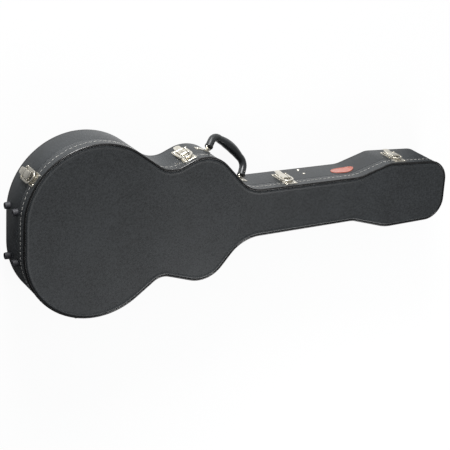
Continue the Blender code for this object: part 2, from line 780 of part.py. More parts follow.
def make_lever(name, spot):
    """Over-centre lever: a strip that turns on its knuckle, with a lifting tab."""
    side_on = across(spot)
    pivot = spot.flat(0.0, PIVOT_LEVEL, PIVOT_OUT)
    carrier = pivot_empty(f"latch_{name}_lever_pivot", pivot)
    heel = PIVOT_LEVEL - LEVER_LENGTH
    stations = [
        (PIVOT_LEVEL + LEVER_TOP, LEVER_OUT, LEVER_HALF_WIDTH),
        (heel + TAB_SHOULDER, LEVER_OUT, LEVER_HALF_WIDTH),
    ]
    for run, lift, width in TAB_SECTIONS:
        level = heel - run * TAB_LENGTH
        stations.append((level, LEVER_OUT + lift * TAB_LIFT, width * TAB_HALF_WIDTH))
    knuckle = circle(PIVOT_LEVEL, PIVOT_OUT, KNUCKLE_RADIUS, ROUND_SIDES)
    boss = circle(LINK_LEVEL, PIVOT_OUT, KNUCKLE_RADIUS, ROUND_SIDES)
    pin = circle(LINK_LEVEL, PIVOT_OUT, PIVOT_PIN_RADIUS, RIVET_SIDES)
    knuckle_half = LEVER_HALF_WIDTH - JOIN
    boss_half = LEVER_HALF_WIDTH - 3 * JOIN
    joined = [
        prism(side_on, knuckle, -knuckle_half, knuckle_half),
        prism(side_on, boss, -boss_half, boss_half),
        prism(side_on, pin, -HASP_OUTER - PIN_END, HASP_OUTER + PIN_END),
    ]
    bore = circle(PIVOT_LEVEL, PIVOT_OUT, PIVOT_PIN_RADIUS + RUNNING_GAP, ROUND_SIDES)
    cuts = [prism(side_on, bore, -2 * LEVER_HALF_WIDTH, 2 * LEVER_HALF_WIDTH)]
    if name == LOCKING_LATCH:
        hole = circle(0.0, PIVOT_LEVEL - LOCK_DROP, LOCK_RADIUS + RUNNING_GAP, ROUND_SIDES)
        cuts.append(prism(facing(spot), hole, SEAT_GAP, LEVER_OUT + 4 * LEVER_THICKNESS))
    shape = strip(facing(spot), stations, LEVER_THICKNESS)
    node(f"latch_{name}_lever", shape, nickel(), joined=joined, cut=cuts, pivot=pivot, carrier=carrier)
    return carrier


def make_key_lock(spot, carrier):
    """Key barrel in the lever of the locking latch."""
    face_on = facing(spot)
    level = PIVOT_LEVEL - LOCK_DROP
    low = LEVER_OUT - LEVER_THICKNESS / 2 - LOCK_DEPTH
    high = LEVER_OUT + LEVER_THICKNESS / 2 + LOCK_PROUD
    barrel = prism(face_on, circle(0.0, level, LOCK_RADIUS, ROUND_SIDES), low, high)
    half = KEY_SLOT_WIDTH / 2
    reach = KEY_SLOT_LENGTH / 2
    slot = [(-half, level - reach), (half, level - reach), (half, level + reach), (-half, level + reach)]
    cut = prism(face_on, slot, high - KEY_SLOT_DEPTH, high + KEY_SLOT_DEPTH)
    pivot = spot.flat(0.0, level, high)
    node("key_lock_barrel", barrel, nickel(), cut=[cut], pivot=pivot, carrier=carrier)


def make_hasp(name, spot, lever):
    """Horseshoe hasp that hangs on the lever's link pin."""
    side_on = across(spot)
    link = spot.flat(0.0, LINK_LEVEL, PIVOT_OUT)
    carrier = pivot_empty(f"latch_{name}_hasp_pivot", link, lever)
    crown = CATCH_LEVEL + CATCH_HEIGHT + RUNNING_GAP - HASP_INNER
    bore_radius = PIVOT_PIN_RADIUS + RUNNING_GAP
    foot = LINK_LEVEL + bore_radius + HASP_FOOT_SHARE * (HASP_EYE_RADIUS - bore_radius)
    horseshoe = []
    for radius, turns in ((HASP_OUTER, range(0, 181, 20)), (HASP_INNER, range(180, -1, -20))):
        for degrees in turns:
            angle = math.radians(degrees)
            horseshoe.append((radius * math.cos(angle), crown + radius * math.sin(angle)))
        if radius == HASP_OUTER:
            horseshoe += [(-HASP_OUTER, foot), (-HASP_INNER, foot)]
    horseshoe += [(HASP_INNER, foot), (HASP_OUTER, foot)]
    strap = prism(facing(spot), horseshoe, HASP_UNDER, HASP_UNDER + HASP_THICKNESS)
    eye = circle(LINK_LEVEL, PIVOT_OUT, HASP_EYE_RADIUS, ROUND_SIDES)
    eyes = []
    for turn in (-1, 1):
        low, high = sorted((turn * (HASP_INNER + JOIN), turn * (HASP_OUTER - JOIN)))
        eyes.append(prism(side_on, eye, low, high))
    bore = circle(LINK_LEVEL, PIVOT_OUT, bore_radius, ROUND_SIDES)
    cuts = [prism(side_on, bore, -2 * HASP_OUTER, 2 * HASP_OUTER)]
    node(f"latch_{name}_hasp", strap, nickel(), joined=eyes, cut=cuts, pivot=link, carrier=carrier)


def make_latch(name, station, lid):
    """Strike on the lid; plate, over-centre lever and hasp on the base."""
    spot = Spot(HANDLE, station, BASE_DEPTH)
    make_strike(name, spot, lid)
    make_latch_plate(name, spot)
    lever = make_lever(name, spot)
    if name == LOCKING_LATCH:
        make_key_lock(spot, lever)
    make_hasp(name, spot, lever)


def spine_line():
    """Points where the hinge line touches the spine side, and its heading.

    It is the longest edge of the outline's convex hull on that side, so no
    part of the lid's rim lies beyond it.
    """
    points = sorted((p.x, p.y) for p in OUTLINE.base if p.y < 0)
    hull = []
    for x, y in points:
        while len(hull) > 1:
            (ax, ay), (bx, by) = hull[-2:]
            if (bx - ax) * (y - ay) - (by - ay) * (x - ax) > 0:
                break
            hull.pop()
        hull.append((x, y))
    edges = [(Vector(a), Vector(b)) for a, b in zip(hull, hull[1:])]
    start, end = max(edges, key=lambda edge: (edge[1] - edge[0]).length)
    return start, end, (end - start).normalized()


def hinge_axis():
    """A point on the lid's axis, its direction and the outward normal."""
    start, end, along = spine_line()
    out = Vector((along.y, -along.x))
    point = start + out * HINGE_STANDOFF
    return point, along, out


def make_hinge(name, distance, lid):
    """Two leaves laid on the wall and a pin through their knuckles."""
    point, along, out = hinge_axis()
    centre = point + along * distance

    def place(run, up, reach):
        plan = centre + along * run + out * reach
        return Vector((plan.x, plan.y, BASE_DEPTH + up))

    def turned(up, reach, run):
        return place(run, up, reach)

    spot = Spot(SPINE, centre.x, BASE_DEPTH)
    half = HINGE_LENGTH / 2
    middle = HINGE_LID_KNUCKLE / 2
    knuckle = circle(0.0, 0.0, HINGE_KNUCKLE_RADIUS, ROUND_SIDES)
    bore = circle(0.0, 0.0, HINGE_PIN_RADIUS + RUNNING_GAP, ROUND_SIDES)
    outer = [(middle + HINGE_KNUCKLE_GAP, half), (-half, -middle - HINGE_KNUCKLE_GAP)]
    for part, direction, spans in (("base", -1, outer), ("lid", 1, [(-middle, middle)])):
        low, high = sorted((direction * LEAF_LEVEL, direction * (LEAF_LEVEL + LEAF_HEIGHT)))
        plate = rounded_rectangle((-half, low), (half, high), PLATE_CORNER)
        levels = sorted((direction * LEAF_LEVEL, direction * (LEAF_LEVEL + FLANGE_THICKNESS)))
        joined = []
        cuts = []
        for start, end in spans:
            joined.append(prism(turned, knuckle, start, end))
            cuts.append(prism(turned, bore, start - HINGE_PIN_HEAD, end + HINGE_PIN_HEAD))
            flange = []
            for share in (0.0, 0.5, 1.0):
                plan = centre + along * (start + (end - start) * share)
                index, part_way = OUTLINE.find(SPINE, plan.x)
                flange.append(OUTLINE.point(index, part_way, PLATE_MIDDLE))
            flange += [centre + along * end, centre + along * start]
            rings = [[Vector((p.x, p.y, BASE_DEPTH + level)) for p in flange] for level in levels]
            joined.append(Shape().loft(rings))
        for turn in (-1, 1):
            joined.append(plate_rivet(spot, turn * LEAF_RIVET_SPREAD, direction * LEAF_RIVET_LEVEL))
        shape = wrapped_plate(spot, plate, SEAT_GAP, PLATE_SKIN)
        carrier = lid if part == "lid" else None
        node(f"hinge_{name}_{part}_leaf", shape, nickel(), joined=joined, cut=cuts, carrier=carrier)

    tip = half + RUNNING_GAP
    head = tip + HINGE_PIN_HEAD_LENGTH
    shoulder = head - HINGE_PIN_CHAMFER
    crown = HINGE_PIN_HEAD - HINGE_PIN_CHAMFER
    rings = []
    for run, radius in (
        (-head, crown), (-shoulder, HINGE_PIN_HEAD), (-tip, HINGE_PIN_HEAD), (-tip, HINGE_PIN_RADIUS),
        (tip, HINGE_PIN_RADIUS), (tip, HINGE_PIN_HEAD), (shoulder, HINGE_PIN_HEAD), (head, crown),
    ):
        rings.append([place(run, y, x) for x, y in circle(0.0, 0.0, radius, ROUND_SIDES)])
    node(f"hinge_{name}_pin", Shape().loft(rings), nickel())


def handle_frame():
    """Pivot points of the handle, its run and its outward direction."""
    pivots = []
    for station in HANDLE_STATIONS:
        spot = Spot(HANDLE, station, HANDLE_LEVEL)
        pivots.append(spot.flat(0.0, 0.0, HANDLE_PIVOT_OUT))
    run = (pivots[1] - pivots[0]).normalized()
    out = Vector((0.0, 0.0, 1.0)).cross(run)
    return pivots[0], pivots[1], run, out


def handle_path(span):
    """Centre line of the grip: (along, rise), tilt and half sizes of each section."""
    leg = LEG_HALF_HEIGHT, LEG_HALF_WIDTH
    collar = COLLAR_HALF_HEIGHT, COLLAR_HALF_WIDTH
    grip = GRIP_HALF_HEIGHT, GRIP_HALF_WIDTH
    lean = 90.0 - HANDLE_LEG_LEAN
    heading = math.radians(lean)
    reach = (HANDLE_RISE - HANDLE_BEND * (1 - math.cos(heading))) / math.sin(heading)
    centre_x = reach * math.cos(heading) + HANDLE_BEND * math.sin(heading)
    path = []
    for distance, size in (
        (HANDLE_LEG_FOOT, collar),
        (HANDLE_LEG_FOOT + COLLAR_LENGTH, collar),
        (HANDLE_LEG_FOOT + COLLAR_LENGTH, leg),
    ):
        point = (distance * math.cos(heading), distance * math.sin(heading))
        path.append((point, lean, size))
    for share in (0.0, 0.25, 0.5, 0.75, 1.0):
        tilt = lean * (1 - share)
        angle = math.radians(tilt)
        x = centre_x - HANDLE_BEND * math.sin(angle)
        y = HANDLE_RISE - HANDLE_BEND * (1 - math.cos(angle))
        size = tuple(a + (b - a) * BEND_SWELL * share for a, b in zip(leg, grip))
        path.append(((x, y), tilt, size))
    for share, swell in GRIP_SWELLS:
        x = centre_x + (0.5 * span - centre_x) * share
        y = HANDLE_RISE + HANDLE_CROWN * share * (2 - share)
        size = tuple(a + (b - a) * swell for a, b in zip(leg, grip))
        path.append(((x, y), 0.0, size))
    mirrored = [((span - x, y), -tilt, size) for (x, y), tilt, size in reversed(path)]
    path.append(((0.5 * span, HANDLE_RISE + HANDLE_CROWN), 0.0, grip))
    return path + mirrored


def bracket_place(along, rise, level):
    """World point in the upright frame that starts at the handle's left pivot."""
    left, _, run, out = handle_frame()
    return left + run * along + out * rise + Vector((0.0, 0.0, level))


def handle_place(along, rise, level):
    """World point in the frame of the handle, which droops toward the back panel."""
    angle = math.radians(HANDLE_DROOP)
    out = rise * math.cos(angle) + level * math.sin(angle)
    up = level * math.cos(angle) - rise * math.sin(angle)
    return bracket_place(along, out, up)


def make_handle_loop(name, centre, inward, pivot, carrier):
    """Wire loop: straight where it turns in the bracket, leaning with the leg above."""
    wire = LOOP_WIRE_RADIUS
    top = HANDLE_LEG_FOOT - SEAT_GAP
    bends = (
        (-LOOP_HALF_SPAN, top, 90), (-LOOP_HALF_SPAN, 0.0, 45),
        (LOOP_HALF_SPAN, 0.0, -45), (LOOP_HALF_SPAN, top, -90),
    )
    rings = []
    for x, y, tilt in bends:
        angle = math.radians(tilt)
        mitre = wire / math.cos(angle) if abs(tilt) == 45 else wire
        lean = inward * math.radians(HANDLE_LEG_LEAN) * y / top
        ring = []
        for a, b in circle(0.0, 0.0, 1.0, RIVET_SIDES):
            run = x + math.sin(angle) * mitre * a
            rise = y + math.cos(angle) * mitre * a
            along = centre + run * math.cos(lean) + rise * math.sin(lean)
            rise = rise * math.cos(lean) - run * math.sin(lean)
            ring.append(handle_place(along, rise, wire * b))
        rings.append(ring)
    node(f"handle_loop_{name}", Shape().loft(rings), nickel(), pivot=pivot, carrier=carrier, smooth=50)


def make_bracket(name, station, centre, inward):
    """Plate on the wall with a stem and a knuckle that the loop turns in."""
    spot = Spot(HANDLE, station, HANDLE_LEVEL)
    outboard = BRACKET_OUTBOARD[name]
    low, high = sorted((inward * BRACKET_INBOARD, -inward * outboard))
    half = BRACKET_WIDTH / 2
    plate = rounded_rectangle((low, -half), (high, half), PLATE_CORNER)

    def turned(rise, level, along):
        return bracket_place(centre + along, rise, level)

    stem_half = BRACKET_KNUCKLE_HALF - STEM_INSET
    root = []
    head = []
    for x, z in ((-1, -1), (1, -1), (1, 1), (-1, 1)):
        root.append(spot.flat(x * stem_half, z * STEM_FOOT_HALF, PLATE_MIDDLE))
        head.append(turned(-STEM_BITE * BRACKET_KNUCKLE_RADIUS, z * STEM_HEAD_HALF, x * stem_half))
    knuckle = circle(0.0, 0.0, BRACKET_KNUCKLE_RADIUS, ROUND_SIDES)
    reach = BRACKET_KNUCKLE_HALF
    joined = [
        Shape().loft([root, head]),
        prism(turned, knuckle, -reach, reach),
        plate_rivet(spot, -inward * (outboard - BRACKET_RIVET_INSET), 0.0),
    ]
    bore = circle(0.0, 0.0, LOOP_WIRE_RADIUS + RUNNING_GAP, ROUND_SIDES)
    cut = prism(turned, bore, -3 * reach, 3 * reach)
    shape = wrapped_plate(spot, plate, SEAT_GAP, PLATE_SKIN)
    node(f"handle_bracket_{name}", shape, nickel(), joined=joined, cut=[cut])


def make_handle():
    """Moulded grip, its two wire loops and the brackets on the wall."""
    left, right, _, _ = handle_frame()
    span = (right - left).length
    middle = left.lerp(right, 0.5)
    carrier = pivot_empty("handle_pivot", middle)
    rings = []
    for (x, y), tilt, (half_height, half_width) in handle_path(span):
        angle = math.radians(tilt)
        ring = []
        for a, b in circle(0.0, 0.0, 1.0, GRIP_SIDES):
            rise = y + math.cos(angle) * half_height * a
            ring.append(handle_place(x - math.sin(angle) * half_height * a, rise, half_width * b))
        rings.append(ring)
    node("handle_grip", Shape().loft(rings), moulded(), pivot=middle, carrier=carrier, smooth=50)
    ends = (("left", left, 0.0, 1), ("right", right, span, -1))
    for station, (name, pivot, centre, inward) in zip(HANDLE_STATIONS, ends):
        make_handle_loop(name, centre, inward, pivot, carrier)
        make_bracket(name, station, centre, inward)


def make_feet():
    """Four rubber feet on the butt, ending in one plane."""
    end = BUTT_X - FOOT_PLANE
    wall = slab_shape(SEAT_GAP, 0.0, CASE_DEPTH)
    for row, y in (("handle", FOOT_SPACING / 2), ("spine", -FOOT_SPACING / 2)):
        for level_name, level in FOOT_LEVELS.items():

            def place(a, b, x, y=y, level=level):
                return Vector((x, y + a, level + b))

            rings = []
            for x, radius in (
                (BUTT_X + FOOT_RADIUS, FOOT_RADIUS),
                (end + FOOT_BEVEL_LENGTH, FOOT_TIP_RADIUS),
                (end, FOOT_TIP_RADIUS - FOOT_BEVEL),
                (end, FOOT_RECESS_RADIUS),
                (end + FOOT_RECESS_DEPTH, FOOT_RECESS_RADIUS),
            ):
                rings.append([place(a, b, x) for a, b in circle(0.0, 0.0, radius, ROUND_SIDES)])
            node(f"foot_{row}_{level_name}", Shape().loft(rings), rubber(), cut=[wall])


def make_wall_trim():
    """Rivets that hold the partition and the plain oval badge."""
    for name, level in PARTITION_RIVET_LEVELS.items():
        spot = Spot(HANDLE, HEAD_PARTITION_STATION, level)
        head = dome(spot.flat, 0.0, 0.0, SEAT_GAP, PARTITION_RIVET_RADIUS,
                    PARTITION_RIVET_HEIGHT, ROUND_SIDES)
        node(f"partition_rivet_{name}", head, nickel(), smooth=60)
    spot = Spot(HANDLE, BADGE_STATION, BADGE_LEVEL)
    oval = [
        (BADGE_LENGTH / 2 * x, BADGE_HEIGHT / 2 * y)
        for x, y in circle(0.0, 0.0, 1.0, 2 * ROUND_SIDES)
    ]
    node("oval_badge", wrapped_plate(spot, oval, SEAT_GAP, SEAT_GAP + BADGE_THICKNESS), enamel(), smooth=40)


def channel_edge(side, x, offset):
    """Point on an offset of a side of the outline, near a station."""
    index, share = OUTLINE.find(side, x)
    return OUTLINE.point(index, share, offset)


def channel_block(x0, x1, low, high):
    """A block across the neck channel, between the side pads."""
    offset = PAD_INNER - SEAT_GAP
    plan = []
    for side, x in ((SPINE, x0), (SPINE, x1), (HANDLE, x1), (HANDLE, x0)):
        plan.append(Vector((x, channel_edge(side, x, offset).y)))
    rings = [[Vector((p.x, p.y, level)) for p in plan] for level in (low, high)]
    return Shape().loft(rings)


def compartment_hinge():
    """Level and cross position of the compartment lid's axis."""
    edge = channel_edge(SPINE, BODY_PARTITION_STATION, PAD_INNER - SEAT_GAP)
    other = channel_edge(SPINE, HEAD_PARTITION_STATION, PAD_INNER - SEAT_GAP)
    y = max(edge.y, other.y) + COMPARTMENT_HINGE_RADIUS + COMPARTMENT_LID_CLEARANCE
    z = COMPARTMENT_RIM + SEAT_GAP + COMPARTMENT_HINGE_RADIUS
    return y, z


def make_compartment():
    """Two partitions, a hinge rail, the lifting lid and the neck cradle."""
    base = FLOOR_TOP + SEAT_GAP
    half = PARTITION_THICKNESS / 2
    rim = COMPARTMENT_RIM
    for name, station in (("body", BODY_PARTITION_STATION), ("head", HEAD_PARTITION_STATION)):
        node(f"partition_{name}", channel_block(station - half, station + half, base, rim), board())

    y, z = compartment_hinge()
    inner0 = BODY_PARTITION_STATION + half + SEAT_GAP
    inner1 = HEAD_PARTITION_STATION - half - SEAT_GAP
    offset = PAD_INNER - SEAT_GAP
    rail_plan = []
    for x in (inner0, inner1):
        rail_plan.append(Vector((x, channel_edge(SPINE, x, offset).y)))
    for x in (inner1, inner0):
        rail_plan.append(Vector((x, rail_plan[0].y + COMPARTMENT_RAIL_WIDTH)))
    rings = [[Vector((p.x, p.y, level)) for p in rail_plan]
             for level in (rim - COMPARTMENT_RAIL_HEIGHT, rim)]
    node("compartment_hinge_rail", Shape().loft(rings), board())

    x0 = BODY_PARTITION_STATION - half - COMPARTMENT_LID_OVERHANG
    x1 = HEAD_PARTITION_STATION + half + COMPARTMENT_LID_OVERHANG
    far = min(channel_edge(HANDLE, x, offset).y for x in (x0, x1)) - COMPARTMENT_LID_CLEARANCE
    panel_low = rim + SEAT_GAP
    panel_high = panel_low + COMPARTMENT_LID_THICKNESS
    profile = [(far, panel_low), (far, panel_high), (y, panel_high)]
    for degrees in (90, 120, 150, 180, 210, 240, 270):
        angle = math.radians(degrees)
        radius = COMPARTMENT_HINGE_RADIUS
        if degrees > 90:
            profile.append((y + radius * math.cos(angle), z + radius * math.sin(angle)))
    pivot = Vector(((x0 + x1) / 2, y, z))
    carrier = pivot_empty("compartment_lid_pivot", pivot)
    lid_shape = prism(lambda a, b, x: Vector((x, a, b)), profile, x0, x1)
    node("compartment_lid", lid_shape, plush(), pivot=pivot, carrier=carrier)

    middle = (x0 + x1) / 2
    tab_low = panel_high + SEAT_GAP
    tab = rounded_rectangle(
        (middle - PULL_TAB_LENGTH / 2, far - PULL_TAB_WIDTH),
        (middle + PULL_TAB_LENGTH / 2, far),
        PLATE_CORNER,
    )
    tab_shape = prism(lambda a, b, h: Vector((a, b, h)), tab, tab_low, tab_low + PULL_TAB_THICKNESS)
    node("compartment_pull_tab", tab_shape, leather(), pivot=pivot, carrier=carrier)

    x0 = CRADLE_STATION - CRADLE_LENGTH / 2
    x1 = CRADLE_STATION + CRADLE_LENGTH / 2
    notch = []
    for degrees in range(180, 361, 20):
        angle = math.radians(degrees)
        notch.append((CRADLE_NOTCH_HALF * math.cos(angle), CRADLE_TOP + CRADLE_NOTCH_DEPTH * math.sin(angle)))
    notch.append((CRADLE_NOTCH_HALF, CRADLE_TOP + CRADLE_NOTCH_DEPTH))
    notch.append((-CRADLE_NOTCH_HALF, CRADLE_TOP + CRADLE_NOTCH_DEPTH))
    cut = prism(lambda a, b, x: Vector((x, a, b)), notch, x0 - CRADLE_LENGTH, x1 + CRADLE_LENGTH)
    node("neck_cradle", channel_block(x0, x1, base, CRADLE_TOP), plush(), cut=[cut])


def build():
    """Every piece of the case."""
    clear_scene()
    point, along, _ = hinge_axis()
    lid = pivot_empty("lid_pivot", Vector((point.x, point.y, BASE_DEPTH)))
    make_shells(lid)
    make_lining(lid)
    for name, station in LATCH_STATIONS.items():
        make_latch(name, station, lid)
    start, end, _ = spine_line()
    reach = (end - start).length
    make_hinge("butt", -HINGE_SPREAD, lid)
    make_hinge("bout", HINGE_SPREAD, lid)
    make_hinge("head", reach - HEAD_HINGE_INSET, lid)
    make_handle()
    make_feet()
    make_wall_trim()
    make_compartment()


build()
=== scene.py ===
"""Hard case for an electric guitar: the visible pieces, their finishes and a small studio.

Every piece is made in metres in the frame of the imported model: +X along the neck
axis to the headstock end, +Y to the handle side, +Z from the back panel to the
lid face. The case lies on its back panel.
"""

import json
import math

import bmesh
import bpy
from mathutils import Matrix, Vector


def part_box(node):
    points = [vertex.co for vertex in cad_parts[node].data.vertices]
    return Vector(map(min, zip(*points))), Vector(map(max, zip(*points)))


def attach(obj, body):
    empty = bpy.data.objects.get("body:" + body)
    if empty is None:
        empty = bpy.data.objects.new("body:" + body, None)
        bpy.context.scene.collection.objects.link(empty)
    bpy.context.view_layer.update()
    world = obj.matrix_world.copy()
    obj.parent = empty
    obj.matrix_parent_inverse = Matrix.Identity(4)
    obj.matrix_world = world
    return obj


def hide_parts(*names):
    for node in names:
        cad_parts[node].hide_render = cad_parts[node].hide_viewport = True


bl_info = {
    "name": "Guitar Case",
    "version": (1, 0, 0),
    "blender": (4, 5, 0),
    "location": "3D View > Sidebar > Case",
    "description": "Builds the pieces, finishes and studio of a hard guitar case",
    "category": "Add Mesh",
}

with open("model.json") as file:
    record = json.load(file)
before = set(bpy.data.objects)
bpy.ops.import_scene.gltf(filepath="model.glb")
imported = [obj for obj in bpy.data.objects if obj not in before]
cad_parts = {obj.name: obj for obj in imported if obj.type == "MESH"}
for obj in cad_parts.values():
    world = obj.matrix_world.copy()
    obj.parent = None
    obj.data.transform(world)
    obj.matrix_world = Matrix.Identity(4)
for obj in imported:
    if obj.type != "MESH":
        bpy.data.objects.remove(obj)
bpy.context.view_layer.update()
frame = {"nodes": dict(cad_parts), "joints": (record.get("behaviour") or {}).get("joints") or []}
JOINTS = {joint["name"]: joint for joint in frame["joints"]}

MM = 0.001
HANDLE = 1
SPINE = -1

# Levels of the two shells over the surface that the case lies on
SPLIT = 70.5 * MM
TOP = 107.5 * MM
SPLIT_HALF = 0.25 * MM
SEAT_GAP = 0.3 * MM
BEAD_HEIGHT = 6.0 * MM
BEAD_BITE = 3.0 * MM

# Plan outline, one row for each tangent arc from the butt to the headstock:
# station along the case, reach from the neck axis, radius (negative is hollow)
OUTLINE_ARCS = {
    HANDLE: (
        (-367.0, 200.0, 162.0),
        (-192.0, 124.0, -56.0),
        (-119.0, 143.6, 78.0),
        (30.0, 53.0, -71.0),
        (275.0, 51.0, -77.0),
        (371.0, 74.2, 46.0),
        (480.0, 67.2, 49.0),
    ),
    SPINE: (
        (-367.0, 188.0, 162.0),
        (-206.0, 118.0, -40.0),
        (-119.0, 140.4, 71.0),
        (30.0, 55.0, -95.0),
        (267.0, 52.0, -61.0),
        (380.0, 79.2, 90.0),
        (480.0, 76.8, 49.0),
    ),
}
ARC_SAGITTA = 0.06 * MM

# Furthest point of the butt, and the station past which the outline is its end wall
BUTT_X = -529.0 * MM
BUTT_FACE = -400.0 * MM

# Boards and lining, as offsets from the outline
WALL = 5.0 * MM
LIP_OUTER = 5.6 * MM
LIP_INNER = 8.6 * MM
PAD_OUTER = 8.9 * MM
PAD_INNER = 17.9 * MM
FLOOR_LEVEL = 6.3 * MM
FLOOR_TOP = 16.3 * MM
CEILING_LEVEL = 101.2 * MM
LID_PAD_UNDER = 93.2 * MM
LIP_TOP = 78.0 * MM

# Latch
LATCHES = ("butt", "upper_bout", "neck", "head")
PIVOT_LEVEL = -4.0 * MM
PIVOT_OUT = 5.8 * MM
LINK_DROP = 23.5 * MM

# Plates laid on the wall: sheet, corners, spacing of the columns that bend with the wall,
# how close two of them may stand, least height, and the share of it that a rim may take
PLATE_SKIN = 1.5 * MM
PLATE_CORNER = 3.0 * MM
PLATE_COLUMN = 3.0 * MM
PLATE_CROWD = 0.5 * MM
PLATE_LEAST = 0.04 * MM
PLATE_BORDER = 0.3

# Rivets of the plates and pins of the levers
RIVET_INSET = 4.6 * MM
PIN_RADIUS = 1.2 * MM
PIN_EASE = 0.3 * MM

# Handle
HANDLE_STATIONS = (-81.0 * MM, 5.5 * MM)
HANDLE_LEVEL = 41.4 * MM
HANDLE_PIVOT_OUT = 6.4 * MM
HANDLE_DROOP = math.radians(32.0)

# Sides of turned forms
ROUND = 24
SMALL_ROUND = 16


def from_hex(code):
    """Linear colour of an sRGB hex value."""
    channels = []
    for start in (0, 2, 4):
        value = int(code[start:start + 2], 16) / 255
        channels.append(value / 12.92 if value <= 0.04045 else ((value + 0.055) / 1.055) ** 2.4)
    return tuple(channels)


def size_prop(name, description, default, low=0.0, high=1.0):
    """A length that a user may change."""
    return bpy.props.FloatProperty(
        name=name, description=description, default=default,
        min=low, max=high, precision=5, subtype="DISTANCE", unit="LENGTH",
    )


def colour_prop(name, description, code):
    """A colour that a user may change."""
    return bpy.props.FloatVectorProperty(
        name=name, description=description, default=from_hex(code),
        size=3, min=0.0, max=1.0, subtype="COLOR",
    )


class CaseSizes(bpy.types.PropertyGroup):
    """Sizes of the details that the scene adds to the case."""

    rim_round: size_prop("Rim round", "Radius of the covering turned round a rim", 1.2 * MM)
    bead_round: size_prop("Bead round", "Radius of the bead at the lid's edge", 3.0 * MM)
    stitch_pitch: size_prop("Stitch pitch", "Distance from one stitch to the next", 11.0 * MM)
    stitch_length: size_prop("Stitch length", "Length of thread that shows in a stitch", 7.5 * MM)
    thread: size_prop("Thread", "Thickness of the sewing thread", 0.9 * MM)
    stitch_level: size_prop("Stitch level", "Height of the row of stitches", 85.0 * MM)
    metal_ease: size_prop("Metal ease", "Rounding of the edges of stamped metal", 0.35 * MM)
    pad_ease: size_prop("Pad ease", "Rounding of the edges of the padding", 4.0 * MM)


class CaseColours(bpy.types.PropertyGroup):
    """Colours of the materials of the case."""

    vinyl: colour_prop("Vinyl", "Leather-grained covering of the boards", "25282a")
    bead: colour_prop("Bead", "Moulded bead at the edges", "0a0a0b")
    thread: colour_prop("Thread", "Sewing thread", "b8b6b0")
    nickel: colour_prop("Nickel", "Plated latches, hinges and brackets", "dcd8cd")
    plush: colour_prop("Plush", "Short pile of the lining", "1d1c20")
    board: colour_prop("Board", "Black-stained plywood edge", "232120")
    rubber: colour_prop("Rubber", "Feet", "2c2c30")
    plastic: colour_prop("Plastic", "Moulded handle grip", "1f2122")
    enamel: colour_prop("Enamel", "Oval badge", "965040")
    leather: colour_prop("Leather", "Pull tab of the compartment", "211e1c")
    floor: colour_prop("Floor", "Studio floor", "f4f4f4")


class Outline:
    """The plan outline as a fine closed chain of facets, counter-clockwise."""

    def __init__(self):
        arcs = []
        for side, run in ((SPINE, OUTLINE_ARCS[SPINE]), (HANDLE, OUTLINE_ARCS[HANDLE][::-1])):
            for station, reach, bend in run:
                centre = Vector((station, side * (reach - bend))) * MM
                arcs.append((centre, bend * MM))
        self.corners = []
        joins = [self.tangent(a, b) for a, b in zip(arcs, arcs[1:] + arcs[:1])]
        for index, (centre, bend) in enumerate(arcs):
            start = joins[index - 1]
            turn = (joins[index] - start + math.pi) % (2 * math.pi) - math.pi
            if bend * turn < 0:
                turn += math.copysign(2 * math.pi, bend)
            facet = 2 * math.acos(1 - ARC_SAGITTA / abs(bend))
            count = max(1, math.ceil(abs(turn) / facet))
            for step in range(count + 1):
                heading = start + turn * step / count
                self.corners.append((centre, bend, Vector((-math.sin(heading), math.cos(heading)))))
        self.base = self.at(0.0)

    @staticmethod
    def tangent(here, there):
        """Heading of the line that leaves one arc and joins the next."""
        span = there[0] - here[0]
        lift = max(-1.0, min(1.0, (there[1] - here[1]) / span.length))
        return math.atan2(span.y, span.x) - math.asin(lift)

    def at(self, offset):
        """Corner points at an offset, outward positive."""
        return [centre - (bend + offset) * left for centre, bend, left in self.corners]

    def find(self, side, x):
        """Facet and share along it where a side of the outline passes x."""
        for index, a in enumerate(self.base):
            b = self.base[(index + 1) % len(self.base)]
            if side * (a.y + b.y) < 0 or side * (b.x - a.x) >= 0:
                continue
            if min(a.x, b.x) <= x <= max(a.x, b.x):
                return index, (x - a.x) / (b.x - a.x)
        raise ValueError("the outline has no point there")

    def point(self, index, share, offset):
        """Point on a facet at an offset, and its outward normal."""
        ends = []
        for centre, bend, left in (self.corners[index], self.corners[(index + 1) % len(self.corners)]):
            ends.append((centre - (bend + offset) * left, -left))
        place = ends[0][0].lerp(ends[1][0], share)
        return place, ends[0][1].lerp(ends[1][1], share).normalized()

    def walk(self, index, share, distance):
        """Facet and share reached after a distance along the outline."""
        while True:
            a = self.base[index]
            b = self.base[(index + 1) % len(self.base)]
            length = (b - a).length
            target = share * length + distance
            if length > 0 and 0 <= target <= length:
                return index, target / length
            if target < 0:
                index = (index - 1) % len(self.base)
                distance = target
                share = 1.0
            else:
                index = (index + 1) % len(self.base)
                distance = target - length
                share = 0.0

    def length(self):
        """Distance once round the outline."""
        return sum((b - a).length for a, b in zip(self.base, self.base[1:] + self.base[:1]))


OUTLINE = Outline()


class WallSpot:
    """A place on the side wall: along it toward the headstock, up, and out."""

    def __init__(self, side, x, level):
        self.side = side
        self.level = level
        self.index, self.share = OUTLINE.find(side, x)
        step = 1.0 * MM
        self.along = (self.wrap(step, 0.0, 0.0) - self.wrap(-step, 0.0, 0.0)).normalized()
        self.up = Vector((0.0, 0.0, 1.0))
        self.out = side * self.up.cross(self.along)
        self.origin = self.wrap(0.0, 0.0, 0.0)

    def wrap(self, along, up, out):
        """World point laid onto the curved wall."""
        index, share = OUTLINE.walk(self.index, self.share, -self.side * along)
        plan, _ = OUTLINE.point(index, share, out)
        return Vector((plan.x, plan.y, self.level + up))

    def flat(self, along, up, out):
        """World point in the flat frame of the place."""
        return self.origin + self.along * along + self.up * up + self.out * out


